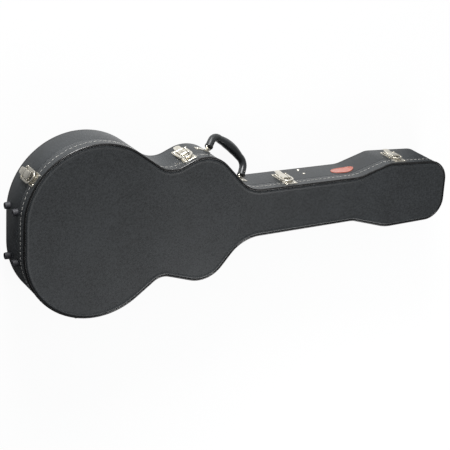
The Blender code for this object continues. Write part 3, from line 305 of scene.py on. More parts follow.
class Shape:
    """Vertices and faces on the way to a mesh."""

    def __init__(self):
        self.verts = []
        self.faces = []

    def add(self, points, faces):
        start = len(self.verts)
        self.verts += [Vector(p) for p in points]
        self.faces += [tuple(start + i for i in face) for face in faces]
        return self

    def loft(self, rings, closed_run=False):
        """Skin over equal rings, capped unless the run closes on itself."""
        size = len(rings[0])
        faces = []
        spans = len(rings) if closed_run else len(rings) - 1
        for run in range(spans):
            after = (run + 1) % len(rings)
            for i in range(size):
                j = (i + 1) % size
                faces.append((run * size + i, run * size + j, after * size + j, after * size + i))
        if not closed_run:
            faces.append(tuple(range(size)))
            faces.append(tuple((len(rings) - 1) * size + i for i in range(size)))
        return self.add([p for ring in rings for p in ring], faces)


def circle(x, y, radius, sides=ROUND):
    """Corner points of a polygon that stands for a circle."""
    turns = [2 * math.pi * (step + 0.5) / sides for step in range(sides)]
    return [(x + radius * math.cos(t), y + radius * math.sin(t)) for t in turns]


def rounded_rectangle(low, high, radius, steps=5):
    """Corner points of a rectangle with rounded corners, counter-clockwise."""
    points = []
    corners = (
        (high[0] - radius, high[1] - radius, 0.0),
        (low[0] + radius, high[1] - radius, 90.0),
        (low[0] + radius, low[1] + radius, 180.0),
        (high[0] - radius, low[1] + radius, 270.0),
    )
    for x, y, start in corners:
        for step in range(steps + 1):
            angle = math.radians(start + 90.0 * step / steps)
            points.append((x + radius * math.cos(angle), y + radius * math.sin(angle)))
    return points


def inset(outline, distance):
    """A counter-clockwise polygon drawn in by a distance, its sharp corners not too far."""
    straight, mitre = 1e-6, 0.4
    moved = []
    count = len(outline)
    for i in range(count):
        before, here, after = (Vector(outline[(i + k) % count]) for k in (-1, 0, 1))
        one = (here - before).normalized()
        two = (after - here).normalized()
        left = Vector((-one.y - two.y, one.x + two.x))
        if left.length < straight:
            left = Vector((-one.y, one.x))
        left.normalize()
        spread = max(mitre, left.dot(Vector((-one.y, one.x))))
        moved.append(tuple(here + left * distance / spread))
    return moved


def eased_levels(low, high, ease, steps=3):
    """Inset and level of each ring of a plate whose two edges are rounded."""
    rows = []
    for step in range(steps + 1):
        angle = math.pi / 2 * step / steps
        rows.append((ease * (1 - math.sin(angle)), low + ease * (1 - math.cos(angle))))
    return rows + [(drawn, low + high - level) for drawn, level in reversed(rows)]


def eased_prism(place, outline, low, high, ease):
    """An outline swept from low to high with rounded edges."""
    rings = []
    for drawn, level in eased_levels(low, high, ease):
        rings.append([place(x, y, level) for x, y in inset(outline, drawn)])
    return Shape().loft(rings)


def lathe(place, profile, sides=ROUND):
    """A turned form: place(a, b, run) over a profile of (run, radius)."""
    rings = []
    for run, radius in profile:
        rings.append([place(x, y, run) for x, y in circle(0.0, 0.0, radius, sides)])
    return Shape().loft(rings)


def pin_profile(low, high, radius, ease):
    """Profile of a straight pin with rounded ends."""
    return [(level, radius - drawn) for drawn, level in eased_levels(low, high, ease)]


def dome_profile(low, radius, height, steps=5):
    """Profile of a domed rivet head with a short upright rim."""
    rim, tip = 0.25 * height, 0.03 * radius
    rows = [(low, radius), (low + rim, radius)]
    for step in range(1, steps + 1):
        angle = math.pi / 2 * step / steps
        rows.append((low + rim + (height - rim) * math.sin(angle), max(radius * math.cos(angle), tip)))
    return rows


def spline(points, count):
    """Points of a smooth curve through the given ones, any dimension."""
    rows = [Vector(p) for p in points]
    rows = [2 * rows[0] - rows[1]] + rows + [2 * rows[-1] - rows[-2]]
    out = []
    spans = len(rows) - 3
    for step in range(count):
        place = min(step * spans / (count - 1), spans - 1e-9)
        i = int(place)
        t = place - i
        a, b, c, d = rows[i:i + 4]
        out.append(0.5 * (2 * b + (c - a) * t + (2 * a - 5 * b + 4 * c - d) * t * t
                          + (3 * b - a - 3 * c + d) * t ** 3))
    return out


def ring_shape(profile):
    """A closed profile of (offset, level) carried round the outline."""
    corners = [OUTLINE.at(offset) for offset, _ in profile]
    rings = []
    for index in range(len(OUTLINE.base)):
        rings.append([
            Vector((corners[k][index].x, corners[k][index].y, level))
            for k, (_, level) in enumerate(profile)
        ])
    return Shape().loft(rings, closed_run=True)


def slab_shape(profile):
    """A board or pad that fills the outline, from a profile of (offset, level)."""
    rings = []
    for offset, level in profile:
        rings.append([Vector((c.x, c.y, level)) for c in OUTLINE.at(offset)])
    return Shape().loft(rings)


def band_profile(outer, inner, low, high, ease):
    """Rectangle of (offset, level) with rounded corners."""
    return rounded_rectangle((inner, low), (outer, high), ease, 3)


def column_ends(points, x):
    """Lowest and highest y of a convex polygon at x."""
    near = 1e-9
    hits = []
    for (ax, ay), (bx, by) in zip(points, points[1:] + points[:1]):
        if min(ax, bx) - near <= x <= max(ax, bx) + near:
            if abs(bx - ax) < near:
                hits += [ay, by]
            else:
                hits.append(ay + (by - ay) * (x - ax) / (bx - ax))
    return min(hits), max(hits)


def stamped_plate(spot, outline, ease, rim, dip):
    """A metal plate laid onto the curved wall, its middle pressed in behind a rim."""
    low = -SEAT_GAP
    high = SEAT_GAP + PLATE_SKIN
    xs = sorted({round(x, 6) for x, _ in outline})
    first, last = xs[0], xs[-1]
    x = first + PLATE_COLUMN
    while x < last:
        if min(abs(x - s) for s in xs) > PLATE_CROWD:
            xs.append(x)
        x += PLATE_COLUMN
    edges = [first + ease, first + rim, first + rim + dip, last - rim - dip, last - rim, last - ease]
    xs = sorted(set(xs) | {round(e, 6) for e in edges})
    rings = []
    for x in xs:
        y0, y1 = column_ends(outline, x)
        reach = min(x - first, last - x)
        top = high - (ease if reach < 0.5 * ease else 0.0)
        span = max(y1 - y0 - 2 * ease, PLATE_LEAST)
        border = PLATE_BORDER * span
        inner = min(rim, border)
        pressed = max(0.0, min(1.0, (reach - rim) / dip)) * dip if rim < border else 0.0
        cross = [(y0, low), (y1, low), (y1, top - ease), (y1 - ease, top)]
        cross += [(y1 - ease - inner, top), (y1 - ease - inner - dip, top - pressed)]
        cross += [(y0 + ease + inner + dip, top - pressed), (y0 + ease + inner, top)]
        cross += [(y0 + ease, top), (y0, top - ease)]
        rings.append([spot.wrap(x, y, out) for y, out in cross])
    return Shape().loft(rings)


def feed(tree, node, inputs):
    """Sets a node's sockets: plain values directly, outputs of other nodes by a link."""
    for key, value in inputs.items():
        if isinstance(value, bpy.types.NodeSocket):
            tree.links.new(value, node.inputs[key])
        else:
            node.inputs[key].default_value = value


def linked(tree, kind, inputs=None, output=0, **settings):
    """Adds one node with its settings, socket values and links, and gives one of its outputs."""
    made = tree.nodes.new(f"ShaderNode{kind}")
    for key, value in settings.items():
        setattr(made, key, value)
    feed(tree, made, inputs or {})
    return made.outputs[output]


def blank_material(name):
    """A new material with its node tree, its shader and pattern coordinates in metres."""
    made = bpy.data.materials.new(name)
    made.use_nodes = True
    tree = made.node_tree
    return made, tree, tree.nodes["Principled BSDF"], linked(tree, "TexCoord", output="Object")


def shaded(tree, pattern, span, colour, shades):
    """The colour, from its darker to its lighter shade while a pattern crosses a span."""
    dark, light = ((*(min(1.0, channel * shade) for channel in colour), 1.0) for shade in shades)
    share = linked(tree, "MapRange", {"Value": pattern, "From Min": span[0], "From Max": span[1]})
    return linked(tree, "Mix", {"Factor": share, 6: dark, 7: light}, 2, data_type="RGBA")


def pvc_leathercloth(colour):
    """PVC cloth embossed with a leather pebble, glued over plywood: satin, faintly mottled."""
    made, tree, shader, place = blank_material("pvc_leathercloth")
    # A real pebble is about 1 mm. It is drawn coarser here, or it wouldn't show
    grain = 2.2 * MM
    warp = linked(tree, "TexNoise", {"Vector": place, "Scale": 1 / (1.5 * grain), "Detail": 3.0})
    shifted = linked(
        tree, "VectorMath", {0: warp, 1: (grain, grain, grain), 2: place}, operation="MULTIPLY_ADD",
    )
    pebble = linked(
        tree, "TexVoronoi", {"Vector": shifted, "Scale": 1 / grain, "Smoothness": 0.6}, feature="SMOOTH_F1",
    )
    mottle = linked(tree, "TexNoise", {"Vector": place, "Scale": 1 / (4.0 * MM), "Detail": 2.0})
    patch = linked(tree, "TexNoise", {"Vector": place, "Scale": 1 / (70.0 * MM), "Detail": 3.0})
    mixed = linked(tree, "Math", {0: mottle, 1: 1.6, 2: patch}, operation="MULTIPLY_ADD")
    wear = {"Value": mottle, "From Min": 0.35, "From Max": 0.65, "To Min": 0.38, "To Max": 0.5}
    fine = {"Height": mottle, "Strength": 0.25, "Distance": 0.25 * MM}
    relief = {"Height": pebble, "Strength": 0.35, "Distance": 0.18 * MM, "Normal": linked(tree, "Bump", fine)}
    feed(tree, shader, {
        "Base Color": shaded(tree, mixed, (0.9, 1.7), colour, (0.65, 1.38)),
        "Roughness": linked(tree, "MapRange", wear),
        "Specular IOR Level": 0.46,
        "Normal": linked(tree, "Bump", relief),
    })
    return made


def extruded_pvc_bead(colour):
    """Extruded PVC bead: smooth and a little glossier than the cloth."""
    made, tree, shader, place = blank_material("extruded_pvc_bead")
    scuff = linked(tree, "TexNoise", {"Vector": place, "Scale": 1 / (14.0 * MM), "Detail": 4.0})
    ripple = linked(tree, "TexNoise", {"Vector": place, "Scale": 1 / (2.5 * MM), "Detail": 3.0})
    wear = {"Value": scuff, "From Min": 0.35, "From Max": 0.7, "To Min": 0.26, "To Max": 0.42}
    feed(tree, shader, {
        "Base Color": shaded(tree, scuff, (0.4, 0.7), colour, (0.9, 1.35)),
        "Roughness": linked(tree, "MapRange", wear),
        "Normal": linked(tree, "Bump", {"Height": ripple, "Strength": 0.15, "Distance": 0.1 * MM}),
    })
    return made


def spun_polyester_thread(colour):
    """Spun polyester thread: matt, with the twist of its plies and painted shade in the grooves between them.
    """
    made, tree, shader, place = blank_material("spun_polyester_thread")
    ply = linked(
        tree, "TexWave", {"Vector": place, "Scale": 1 / (4.0 * MM), "Distortion": 1.0}, "Fac",
        bands_direction="DIAGONAL",
    )
    feed(tree, shader, {
        # Darker where the twist's relief dips: painted shade in the grooves between the plies
        "Base Color": shaded(tree, ply, (0.0, 1.0), colour, (0.78, 1.05)),
        "Roughness": 0.75,
        "Sheen Weight": 0.3,
        "Normal": linked(tree, "Bump", {"Height": ply, "Strength": 0.5, "Distance": 0.15 * MM}),
    })
    return made


def bright_nickel_plate(colour):
    """Bright nickel over stamped steel: polished, with fine handling marks."""
    made, tree, shader, place = blank_material("bright_nickel_plate")
    haze = linked(tree, "TexNoise", {"Vector": place, "Scale": 1 / (6.0 * MM), "Detail": 4.0})
    rub = linked(tree, "TexNoise", {"Vector": place, "Scale": 1 / (0.9 * MM), "Detail": 2.0})
    wear = {"Value": haze, "From Min": 0.3, "From Max": 0.7, "To Min": 0.22, "To Max": 0.36}
    feed(tree, shader, {
        "Base Color": shaded(tree, haze, (0.35, 0.7), colour, (0.9, 1.04)),
        "Metallic": 1.0,
        "Roughness": linked(tree, "MapRange", wear),
        "Normal": linked(tree, "Bump", {"Height": rub, "Strength": 0.06, "Distance": 0.06 * MM}),
    })
    return made


def short_acrylic_plush(colour):
    """Short acrylic pile: dark, with lighter patches of painted sheen where the pile leans."""
    made, tree, shader, place = blank_material("short_acrylic_plush")
    pile = linked(tree, "TexNoise", {"Vector": place, "Scale": 1 / (1.4 * MM), "Detail": 2.0})
    # Coarse patches that lighten the colour: painted sheen of the leaning pile
    lean = linked(tree, "TexNoise", {"Vector": place, "Scale": 1 / (38.0 * MM), "Detail": 3.0})
    pile_and_painted_sheen = linked(tree, "Math", {0: pile, 1: 0.6, 2: lean}, operation="MULTIPLY_ADD")
    feed(tree, shader, {
        "Base Color": shaded(tree, pile_and_painted_sheen, (0.5, 1.1), colour, (0.7, 1.7)),
        "Roughness": 0.95,
        "Sheen Weight": 0.6,
        "Sheen Roughness": 0.4,
        "Sheen Tint": (0.55, 0.55, 0.62, 1.0),
        "Normal": linked(tree, "Bump", {"Height": pile, "Strength": 0.6, "Distance": 0.7 * MM}),
    })
    return made


def stained_birch_plywood(colour):
    """Black-stained birch plywood: dull, with grain running along the case."""
    made, tree, shader, place = blank_material("stained_birch_plywood")
    stretched = linked(tree, "Mapping", {"Vector": place, "Scale": (0.06, 1.0, 1.0)})
    grain = linked(tree, "TexNoise", {"Vector": stretched, "Scale": 1 / (1.6 * MM), "Detail": 4.0})
    wear = {"Value": grain, "From Min": 0.3, "From Max": 0.7, "To Min": 0.6, "To Max": 0.75}
    feed(tree, shader, {
        "Base Color": shaded(tree, grain, (0.35, 0.7), colour, (0.7, 1.5)),
        "Roughness": linked(tree, "MapRange", wear),
        "Normal": linked(tree, "Bump", {"Height": grain, "Strength": 0.3, "Distance": 0.15 * MM}),
    })
    return made


def moulded_rubber(colour):
    """Moulded rubber: dull black with a dusty bloom."""
    made, tree, shader, place = blank_material("moulded_rubber")
    bloom = linked(tree, "TexNoise", {"Vector": place, "Scale": 1 / (4.0 * MM), "Detail": 4.0})
    grit = linked(tree, "TexNoise", {"Vector": place, "Scale": 1 / (0.9 * MM), "Detail": 3.0})
    wear = {"Value": bloom, "From Min": 0.3, "From Max": 0.7, "To Min": 0.55, "To Max": 0.75}
    feed(tree, shader, {
        "Base Color": shaded(tree, bloom, (0.4, 0.75), colour, (0.85, 1.6)),
        "Roughness": linked(tree, "MapRange", wear),
        "Normal": linked(tree, "Bump", {"Height": grit, "Strength": 0.3, "Distance": 0.12 * MM}),
    })
    return made


def moulded_plastisol(colour):
    """Moulded plastisol grip: satin black, softly textured, polished by hands on top."""
    made, tree, shader, place = blank_material("moulded_plastisol")
    skin = linked(tree, "TexVoronoi", {"Vector": place, "Scale": 1 / (1.3 * MM)}, feature="SMOOTH_F1")
    rubbed = linked(tree, "TexNoise", {"Vector": place, "Scale": 1 / (22.0 * MM), "Detail": 2.0})
    wear = {"Value": rubbed, "From Min": 0.3, "From Max": 0.7, "To Min": 0.46, "To Max": 0.3}
    feed(tree, shader, {
        "Base Color": shaded(tree, rubbed, (0.35, 0.7), colour, (0.9, 1.3)),
        "Roughness": linked(tree, "MapRange", wear),
        "Normal": linked(tree, "Bump", {"Height": skin, "Strength": 0.25, "Distance": 0.15 * MM}),
    })
    return made


def lacquered_enamel(colour):
    """Printed and lacquered badge enamel: glossy, with a slight orange-peel."""
    made, tree, shader, place = blank_material("lacquered_enamel")
    cloud = linked(tree, "TexNoise", {"Vector": place, "Scale": 1 / (7.0 * MM), "Detail": 3.0})
    peel = linked(tree, "TexNoise", {"Vector": place, "Scale": 1 / (2.2 * MM), "Detail": 3.0})
    feed(tree, shader, {
        "Base Color": shaded(tree, cloud, (0.35, 0.7), colour, (0.9, 1.12)),
        "Roughness": 0.32,
        "Coat Weight": 0.5,
        "Coat Roughness": 0.12,
        "Normal": linked(tree, "Bump", {"Height": peel, "Strength": 0.2, "Distance": 0.1 * MM}),
    })
    return made


def bridle_leather(colour):
    """Thin bridle leather: waxy, with fine pores."""
    made, tree, shader, place = blank_material("bridle_leather")
    pore = linked(tree, "TexVoronoi", {"Vector": place, "Scale": 1 / (1.0 * MM)})
    wax = linked(tree, "TexNoise", {"Vector": place, "Scale": 1 / (9.0 * MM), "Detail": 3.0})
    wear = {"Value": wax, "From Min": 0.3, "From Max": 0.7, "To Min": 0.4, "To Max": 0.55}
    feed(tree, shader, {
        "Base Color": shaded(tree, wax, (0.35, 0.7), colour, (0.8, 1.4)),
        "Roughness": linked(tree, "MapRange", wear),
        "Normal": linked(tree, "Bump", {"Height": pore, "Strength": 0.3, "Distance": 0.12 * MM}),
    })
    return made


# What each finish is called in the record, how it is made and which colour it takes
FINISHES = {
    "vinyl": ("vinyl_covered_board", pvc_leathercloth),
    "bead": ("edge_bead", extruded_pvc_bead),
    "thread": ("vinyl_covered_board", spun_polyester_thread),
    "nickel": ("nickel_hardware", bright_nickel_plate),
    "plush": ("plush_lining", short_acrylic_plush),
    "board": ("stained_board", stained_birch_plywood),
    "rubber": ("foot_rubber", moulded_rubber),
    "plastic": ("moulded_plastic", moulded_plastisol),
    "enamel": ("badge_enamel", lacquered_enamel),
    "leather": ("pull_leather", bridle_leather),
}
made_finishes = {}

# Sharpest bend, in degrees, that still looks round on each kind of surface
FACE_CREASE = 35
METAL_CREASE = 45
WALL_CREASE = 50
GRIP_CREASE = 55
SOFT_CREASE = 60
WELD = 0.001 * MM


def finish(name):
    """The material of a finish, made once from the user's colour."""
    if name not in made_finishes:
        colours = bpy.context.scene.case_colours
        made_finishes[name] = FINISHES[name][1](tuple(getattr(colours, name)))
    return made_finishes[name]


def piece(name, shapes, look, body, replaced, crease):
    """One finished piece of the case, riding on a body, sharp where it bends past the crease."""
    joined = Shape()
    for shape in (shapes if isinstance(shapes, (list, tuple)) else [shapes]):
        joined.add(shape.verts, shape.faces)
    mesh = bpy.data.meshes.new(name)
    mesh.from_pydata(joined.verts, [], joined.faces)
    work = bmesh.new()
    work.from_mesh(mesh)
    bmesh.ops.remove_doubles(work, verts=work.verts, dist=WELD)
    bmesh.ops.dissolve_degenerate(work, edges=work.edges, dist=WELD)
    bmesh.ops.recalc_face_normals(work, faces=work.faces)
    work.to_mesh(mesh)
    work.free()
    mesh.shade_smooth()
    mesh.set_sharp_from_angle(angle=math.radians(crease))
    made = bpy.data.objects.new(name, mesh)
    bpy.context.scene.collection.objects.link(made)
    made.data.materials.append(finish(look))
    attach(made, body)
    if replaced:
        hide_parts(*replaced)
    return made


def refinish(node, look):
    """Gives a carried-over node of the frame its finish."""
    kept = frame["nodes"][node]
    kept.data.materials.clear()
    kept.data.materials.append(finish(look))


# The camera was solved from the photograph: focal length in pixels of its width
PICTURE = 450
FOCAL_PIXELS = 1477.247
SENSOR = 36.0
PIXEL_SHIFT = 0.5
CAMERA_PLACE = Vector((-1.55205, 1.14674, 2.73539))
CAMERA_RIGHT = Vector((0.8786, 0.0547, 0.4744))
CAMERA_UP = Vector((0.1264, 0.9314, -0.3414))
CAMERA_REACH = 100.0


class CASE_OT_camera(bpy.types.Operator):
    """Place the camera at the photograph's point of view"""

    bl_idname = "case.camera"
    bl_label = "Camera"

    def execute(self, context):
        data = bpy.data.cameras.new("camera")
        data.sensor_width = SENSOR
        data.lens = FOCAL_PIXELS * SENSOR / PICTURE
        data.shift_x = -PIXEL_SHIFT / PICTURE
        data.shift_y = PIXEL_SHIFT / PICTURE
        data.clip_end = CAMERA_REACH
        camera = bpy.data.objects.new("camera", data)
        context.scene.collection.objects.link(camera)
        right = CAMERA_RIGHT.normalized()
        back = right.cross(CAMERA_UP).normalized()
        up = back.cross(right)
        turn = Matrix((right, up, back)).transposed().to_4x4()
        camera.matrix_world = Matrix.Translation(CAMERA_PLACE) @ turn
        context.scene.camera = camera
        return {"FINISHED"}


def lamp(name, place, aim, size, watts):
    """A large soft lamp."""
    data = bpy.data.lights.new(name, "AREA")
    data.shape = "DISK"
    data.size = size
    data.energy = watts
    made = bpy.data.objects.new(name, data)
    made.location = place
    made.rotation_euler = (Vector(aim) - Vector(place)).to_track_quat("-Z", "Y").to_euler()
    bpy.context.scene.collection.objects.link(made)


# World: the way in which it gets brighter in gloss, how much, and the grey that lights the rest
WORLD_WAY = (0.45, 0.85, 0.0)
WORLD_SHADES = {"From Min": -0.7, "From Max": 0.7, "To Min": 0.05, "To Max": 0.42}
ROOM_LIGHT = (0.4, 0.41, 0.43, 1.0)
WHITE = (1.0, 1.0, 1.0, 1.0)

# Floor: where it is bright in gloss, how that falls with the distance, how much of its
# white is a glow that no shade darkens, and its own size and level
POOL_MIDDLE = (-0.02, 0.2, 0.0)
POOL_SHADES = {"From Min": 0.4, "From Max": 0.6, "To Min": 1.1, "To Max": 0.03}
GROUND_GLOW = 0.93
GROUND_HALF = 6.0
GROUND_LEVEL = -0.2 * MM


def side_fade(tree):
    """White studio to the eye; in gloss it is dim toward the butt and bright past the handle."""
    way = linked(tree, "TexCoord", output="Generated")
    lean = linked(tree, "VectorMath", {0: way, 1: WORLD_WAY}, "Value", operation="DOT_PRODUCT")
    fade = linked(tree, "MapRange", {"Value": lean, **WORLD_SHADES})
    eye = linked(tree, "LightPath", output="Is Camera Ray")
    return linked(tree, "Mix", {"Factor": eye, "A": fade, "B": 1.0}, data_type="FLOAT")


def light_pool(tree):
    """White floor to the eye; in gloss it is bright beside the case and dim past its ends."""
    place = linked(tree, "TexCoord", output="Object")
    reach = linked(tree, "VectorMath", {0: place, 1: POOL_MIDDLE}, "Value", operation="DISTANCE")
    pool = linked(tree, "MapRange", {"Value": reach, **POOL_SHADES}, interpolation_type="SMOOTHSTEP")
    gloss = linked(tree, "LightPath", output="Is Glossy Ray")
    return linked(tree, "Mix", {"Factor": gloss, "A": 1.0, "B": pool}, data_type="FLOAT")


def seen_directly(tree):
    """1 for rays from the camera, rays that gloss reflects and rays through glass, otherwise 0."""
    eye, gloss, glass = (
        linked(tree, "LightPath", output=f"Is {ray} Ray") for ray in ("Camera", "Glossy", "Transmission")
    )
    pair = linked(tree, "Math", {0: eye, 1: gloss}, operation="MAXIMUM")
    return linked(tree, "Math", {0: pair, 1: glass}, operation="MAXIMUM")


def lay_floor(scene):
    """A pale floor just under the case, which glows for the eye so that it stays white."""
    mesh = bpy.data.meshes.new("studio_floor")
    corners = [(x * GROUND_HALF, y * GROUND_HALF) for x, y in ((-1, -1), (1, -1), (1, 1), (-1, 1))]
    mesh.from_pydata([(x, y, GROUND_LEVEL) for x, y in corners], [], [(0, 1, 2, 3)])
    floor = bpy.data.objects.new("studio_floor", mesh)
    scene.collection.objects.link(floor)
    made, tree, shader, _ = blank_material("painted_floor")
    feed(tree, shader, {"Base Color": (*scene.case_colours.floor, 1.0), "Roughness": 0.9})
    glow = linked(tree, "Emission", {"Color": WHITE, "Strength": light_pool(tree)})
    share = linked(tree, "Math", {0: seen_directly(tree), 1: GROUND_GLOW}, operation="MULTIPLY")
    mixed = linked(tree, "MixShader", {0: share, 1: shader.outputs["BSDF"], 2: glow})
    feed(tree, tree.nodes["Material Output"], {"Surface": mixed})
    floor.data.materials.append(made)


def light_world(scene):
    """Soft grey light all round, and the graded white world that the eye and gloss see."""
    world = bpy.data.worlds.new("studio")
    scene.world = world
    world.use_nodes = True
    tree = world.node_tree
    shade = side_fade(tree)
    walls = linked(tree, "CombineColor", {"Red": shade, "Green": shade, "Blue": shade})
    colour = linked(
        tree, "Mix", {"Factor": seen_directly(tree), 6: ROOM_LIGHT, 7: walls}, 2, data_type="RGBA",
    )
    feed(tree, tree.nodes["Background"], {"Color": colour, "Strength": 1.0})


class CASE_OT_stage(bpy.types.Operator):
    """Lay the pale floor and set the studio's light"""

    bl_idname = "case.stage"
    bl_label = "Floor and Light"

    def execute(self, context):
        context.scene.view_settings.view_transform = "Standard"
        lay_floor(context.scene)
        light_world(context.scene)
        lamp("overhead_lamp", place=(0.65, -1.15, 0.9), aim=(0.0, 0.0, 0.0), size=0.8, watts=13.0)
        lamp("side_lamp", place=(-0.5, 2.9, 0.75), aim=(0.0, 0.0, 0.05), size=1.2, watts=150.0)
        return {"FINISHED"}


def turned_rim(level, ease, direction, steps=4):
    """Rounded outer edge of a wall's rim: direction 1 where the wall ends upward."""
    rows = []
    for step in range(steps + 1):
        angle = math.pi / 2 * step / steps
        rows.append((-ease * (1 - math.cos(angle)), level - direction * ease * (1 - math.sin(angle))))
    return rows


def wall_profile(rim, end, ease, direction):
    """Cross-section of a side band between its bead and its rim at the seam."""
    return [(0.0, end), *turned_rim(rim, ease, direction), (-WALL, rim), (-WALL, end)]


class CASE_OT_walls(bpy.types.Operator):
    """Bend the side bands of the base and the lid, covering turned round their rims"""

    bl_idname = "case.walls"
    bl_label = "Side Bands"

    def execute(self, context):
        ease = context.scene.case_sizes.rim_round
        base = wall_profile(SPLIT - SPLIT_HALF, BEAD_HEIGHT - SEAT_GAP, ease, 1)
        piece("base_wall", ring_shape(base), "vinyl", "base", ["base_side_band"], WALL_CREASE)
        lid = wall_profile(SPLIT + SPLIT_HALF, TOP - BEAD_HEIGHT + SEAT_GAP, ease, -1)
        piece("lid_wall", ring_shape(lid), "vinyl", "lid", ["lid_side_band"], WALL_CREASE)
        return {"FINISHED"}


# Edge of each covered board: run inward from its bead and depth under its outer face, in
# millimetres. The lid's covering swells over the bead's flange, then falls to the board
FACE_SWELL = (
    (0.0, 1.4), (0.2, 1.5), (0.7, 0.85), (1.5, 0.35), (2.5, 0.08), (3.6, 0.02), (4.8, 0.15), (6.4, 0.45),
    (9.0, 0.6),
)
BACK_TURN = ((0.0, 0.9), (0.6, 0.25), (1.6, 0.0))
BOARD_GAP = 0.1 * MM


class CASE_OT_panels(bpy.types.Operator):
    """Lay the covered boards of the lid face and the back"""

    bl_idname = "case.panels"
    bl_label = "Face and Back"

    def execute(self, context):
        edge = -BEAD_BITE - BOARD_GAP
        face = [(edge, TOP - BEAD_HEIGHT)]
        face += [(edge - run * MM, TOP - depth * MM) for run, depth in FACE_SWELL]
        piece("lid_face", slab_shape(face), "vinyl", "lid", ["lid_face_panel"], FACE_CREASE)
        back = [(edge, BEAD_HEIGHT)]
        back += [(edge - run * MM, depth * MM) for run, depth in BACK_TURN]
        piece("back_face", slab_shape(back), "vinyl", "base", ["base_back_panel"], FACE_CREASE)
        return {"FINISHED"}


# How far the nose of each bead stands out past the wall
LID_BEAD_PROUD = 1.5 * MM
BASE_BEAD_PROUD = 0.2 * MM


def bead_profile(outer, inner, proud, radius):
    """Round-nosed bead with a small groove where it meets the board."""
    step = 1 if outer > inner else -1
    groove, lap, heel, heel_out = 1.6 * MM, 0.5 * MM, 0.9 * MM, 0.15 * MM
    rows = [(-BEAD_BITE, inner), (-BEAD_BITE, outer - step * groove)]
    rows.append((-BEAD_BITE + lap, outer - step * lap))
    for degrees in range(100, -21, -15):
        angle = math.radians(degrees)
        out = proud - radius + radius * math.cos(angle)
        rows.append((out, outer - step * radius * (1 - math.sin(angle))))
    return rows + [(heel_out, inner + step * heel), (0.0, inner)]


class CASE_OT_beads(bpy.types.Operator):
    """Run the moulded beads along the edges of the lid face and the back"""

    bl_idname = "case.beads"
    bl_label = "Edge Beads"

    def execute(self, context):
        radius = context.scene.case_sizes.bead_round
        lid = bead_profile(TOP, TOP - BEAD_HEIGHT, LID_BEAD_PROUD, radius)
        piece("lid_bead", ring_shape(lid), "bead", "lid", ["lid_edge_bead"], SOFT_CREASE)
        base = bead_profile(0.0, BEAD_HEIGHT, BASE_BEAD_PROUD, radius)
        piece("base_bead", ring_shape(base), "bead", "base", ["base_edge_bead"], SOFT_CREASE)
        return {"FINISHED"}


# The row of stitches stops under metal that reaches over it
LATCH_COVER = 18.0 * MM
HINGE_COVER = 22.0 * MM

# Rings of a stitch from one end to the other, in half lengths. Its thin ends dip into the
# cloth, and each stitch has a tilt of its own
STITCH_RUNS = (-1.0, -0.93, -0.7, -0.3, 0.3, 0.7, 0.93, 1.0)
STITCH_RISE = 0.35 * MM
STITCH_SINK = 0.1 * MM
STITCH_TIP = 0.12
STITCH_TILT = 0.35 * MM
STITCH_PHASE = 2.7
STITCH_SIDES = 8


class CASE_OT_stitching(bpy.types.Operator):
    """Sew the row of stitches round the lid's band"""

    bl_idname = "case.stitching"
    bl_label = "Stitching"

    def execute(self, context):
        sizes = context.scene.case_sizes
        count = round(OUTLINE.length() / sizes.stitch_pitch)
        pitch = OUTLINE.length() / count
        covered = []
        for name in LATCHES:
            covered.append((Vector(JOINTS[f"lever_{name}"]["pos_m"][:2]), LATCH_COVER))
        for name in ("butt", "bout", "head"):
            low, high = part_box(f"hinge_{name}_lid_leaf")
            middle = (Vector(low) + Vector(high)) / 2
            covered.append((middle.to_2d(), HINGE_COVER))
        thread = Shape()
        for number in range(count):
            middle = self.station(number * pitch)
            if any((middle[0] - spot).length < reach for spot, reach in covered):
                continue
            thread.add(*self.stitch(number * pitch, number, sizes))
        piece("lid_stitches", thread, "thread", "lid", (), SOFT_CREASE)
        return {"FINISHED"}

    @staticmethod
    def station(distance):
        """Point on the wall and its outward direction after a distance."""
        index, share = OUTLINE.walk(0, 0.0, distance)
        return OUTLINE.point(index, share, 0.0)

    def stitch(self, distance, number, sizes):
        """Points and faces of one stitch."""
        half = sizes.stitch_length / 2
        tilt = STITCH_TILT * math.sin(STITCH_PHASE * number)
        rings = []
        for run in STITCH_RUNS:
            place, out = self.station(distance + run * half)
            swell = math.sqrt(max(0.0, 1 - run ** 4))
            radius = sizes.thread / 2 * max(STITCH_TIP, swell)
            lift = STITCH_RISE * swell - STITCH_SINK
            ring = []
            for a, b in circle(0.0, 0.0, radius, STITCH_SIDES):
                plan = place + out * (lift + a)
                ring.append(Vector((plan.x, plan.y, sizes.stitch_level + tilt * run + b)))
            rings.append(ring)
        made = Shape().loft(rings)
        return made.verts, made.faces


# Rounded edges of the board lip
LIP_EASE = 0.9 * MM


class CASE_OT_inner_lip(bpy.types.Operator):
    """Raise the board lip that the lid closes over"""

    bl_idname = "case.inner_lip"
    bl_label = "Inner Lip"

    def execute(self, context):
        profile = band_profile(-LIP_OUTER, -LIP_INNER, FLOOR_LEVEL, LIP_TOP, LIP_EASE)
        piece("inner_lip", ring_shape(profile), "board", "base", ["base_inner_lip"], WALL_CREASE)
        return {"FINISHED"}


# Pads: how far the crown rises past the shoulder, share of the ease that the shoulder
# drops, tuck under the edge, and run inward in millimetres with the share of the crown
PAD_CROWN = 1.6 * MM
PAD_SHOULDER = 0.7
PAD_TUCK = 0.4 * MM
PAD_STEPS = 6
CROWN_ROWS = ((6.0, 0.45), (11.0, 0.8), (17.0, 1.0))

# Side pad: rounded top as run inward and depth, then share of the way down the inner face
# and how far it stands back there. Runs and depths are in millimetres
SIDE_PAD_DROP = 2.0 * MM
SIDE_PAD_TOP = ((0.0, 2.0), (1.2, 0.4), (4.0, 0.0), (6.8, 1.2), (8.5, 4.0))
SIDE_PAD_FACE = ((0.12, 0.2), (0.3, 0.0), (0.5, 0.0), (0.72, 0.0), (0.9, 0.4))
SIDE_PAD_HEEL = 2.0 * MM
SIDE_PAD_UNDERCUT = 2.2 * MM

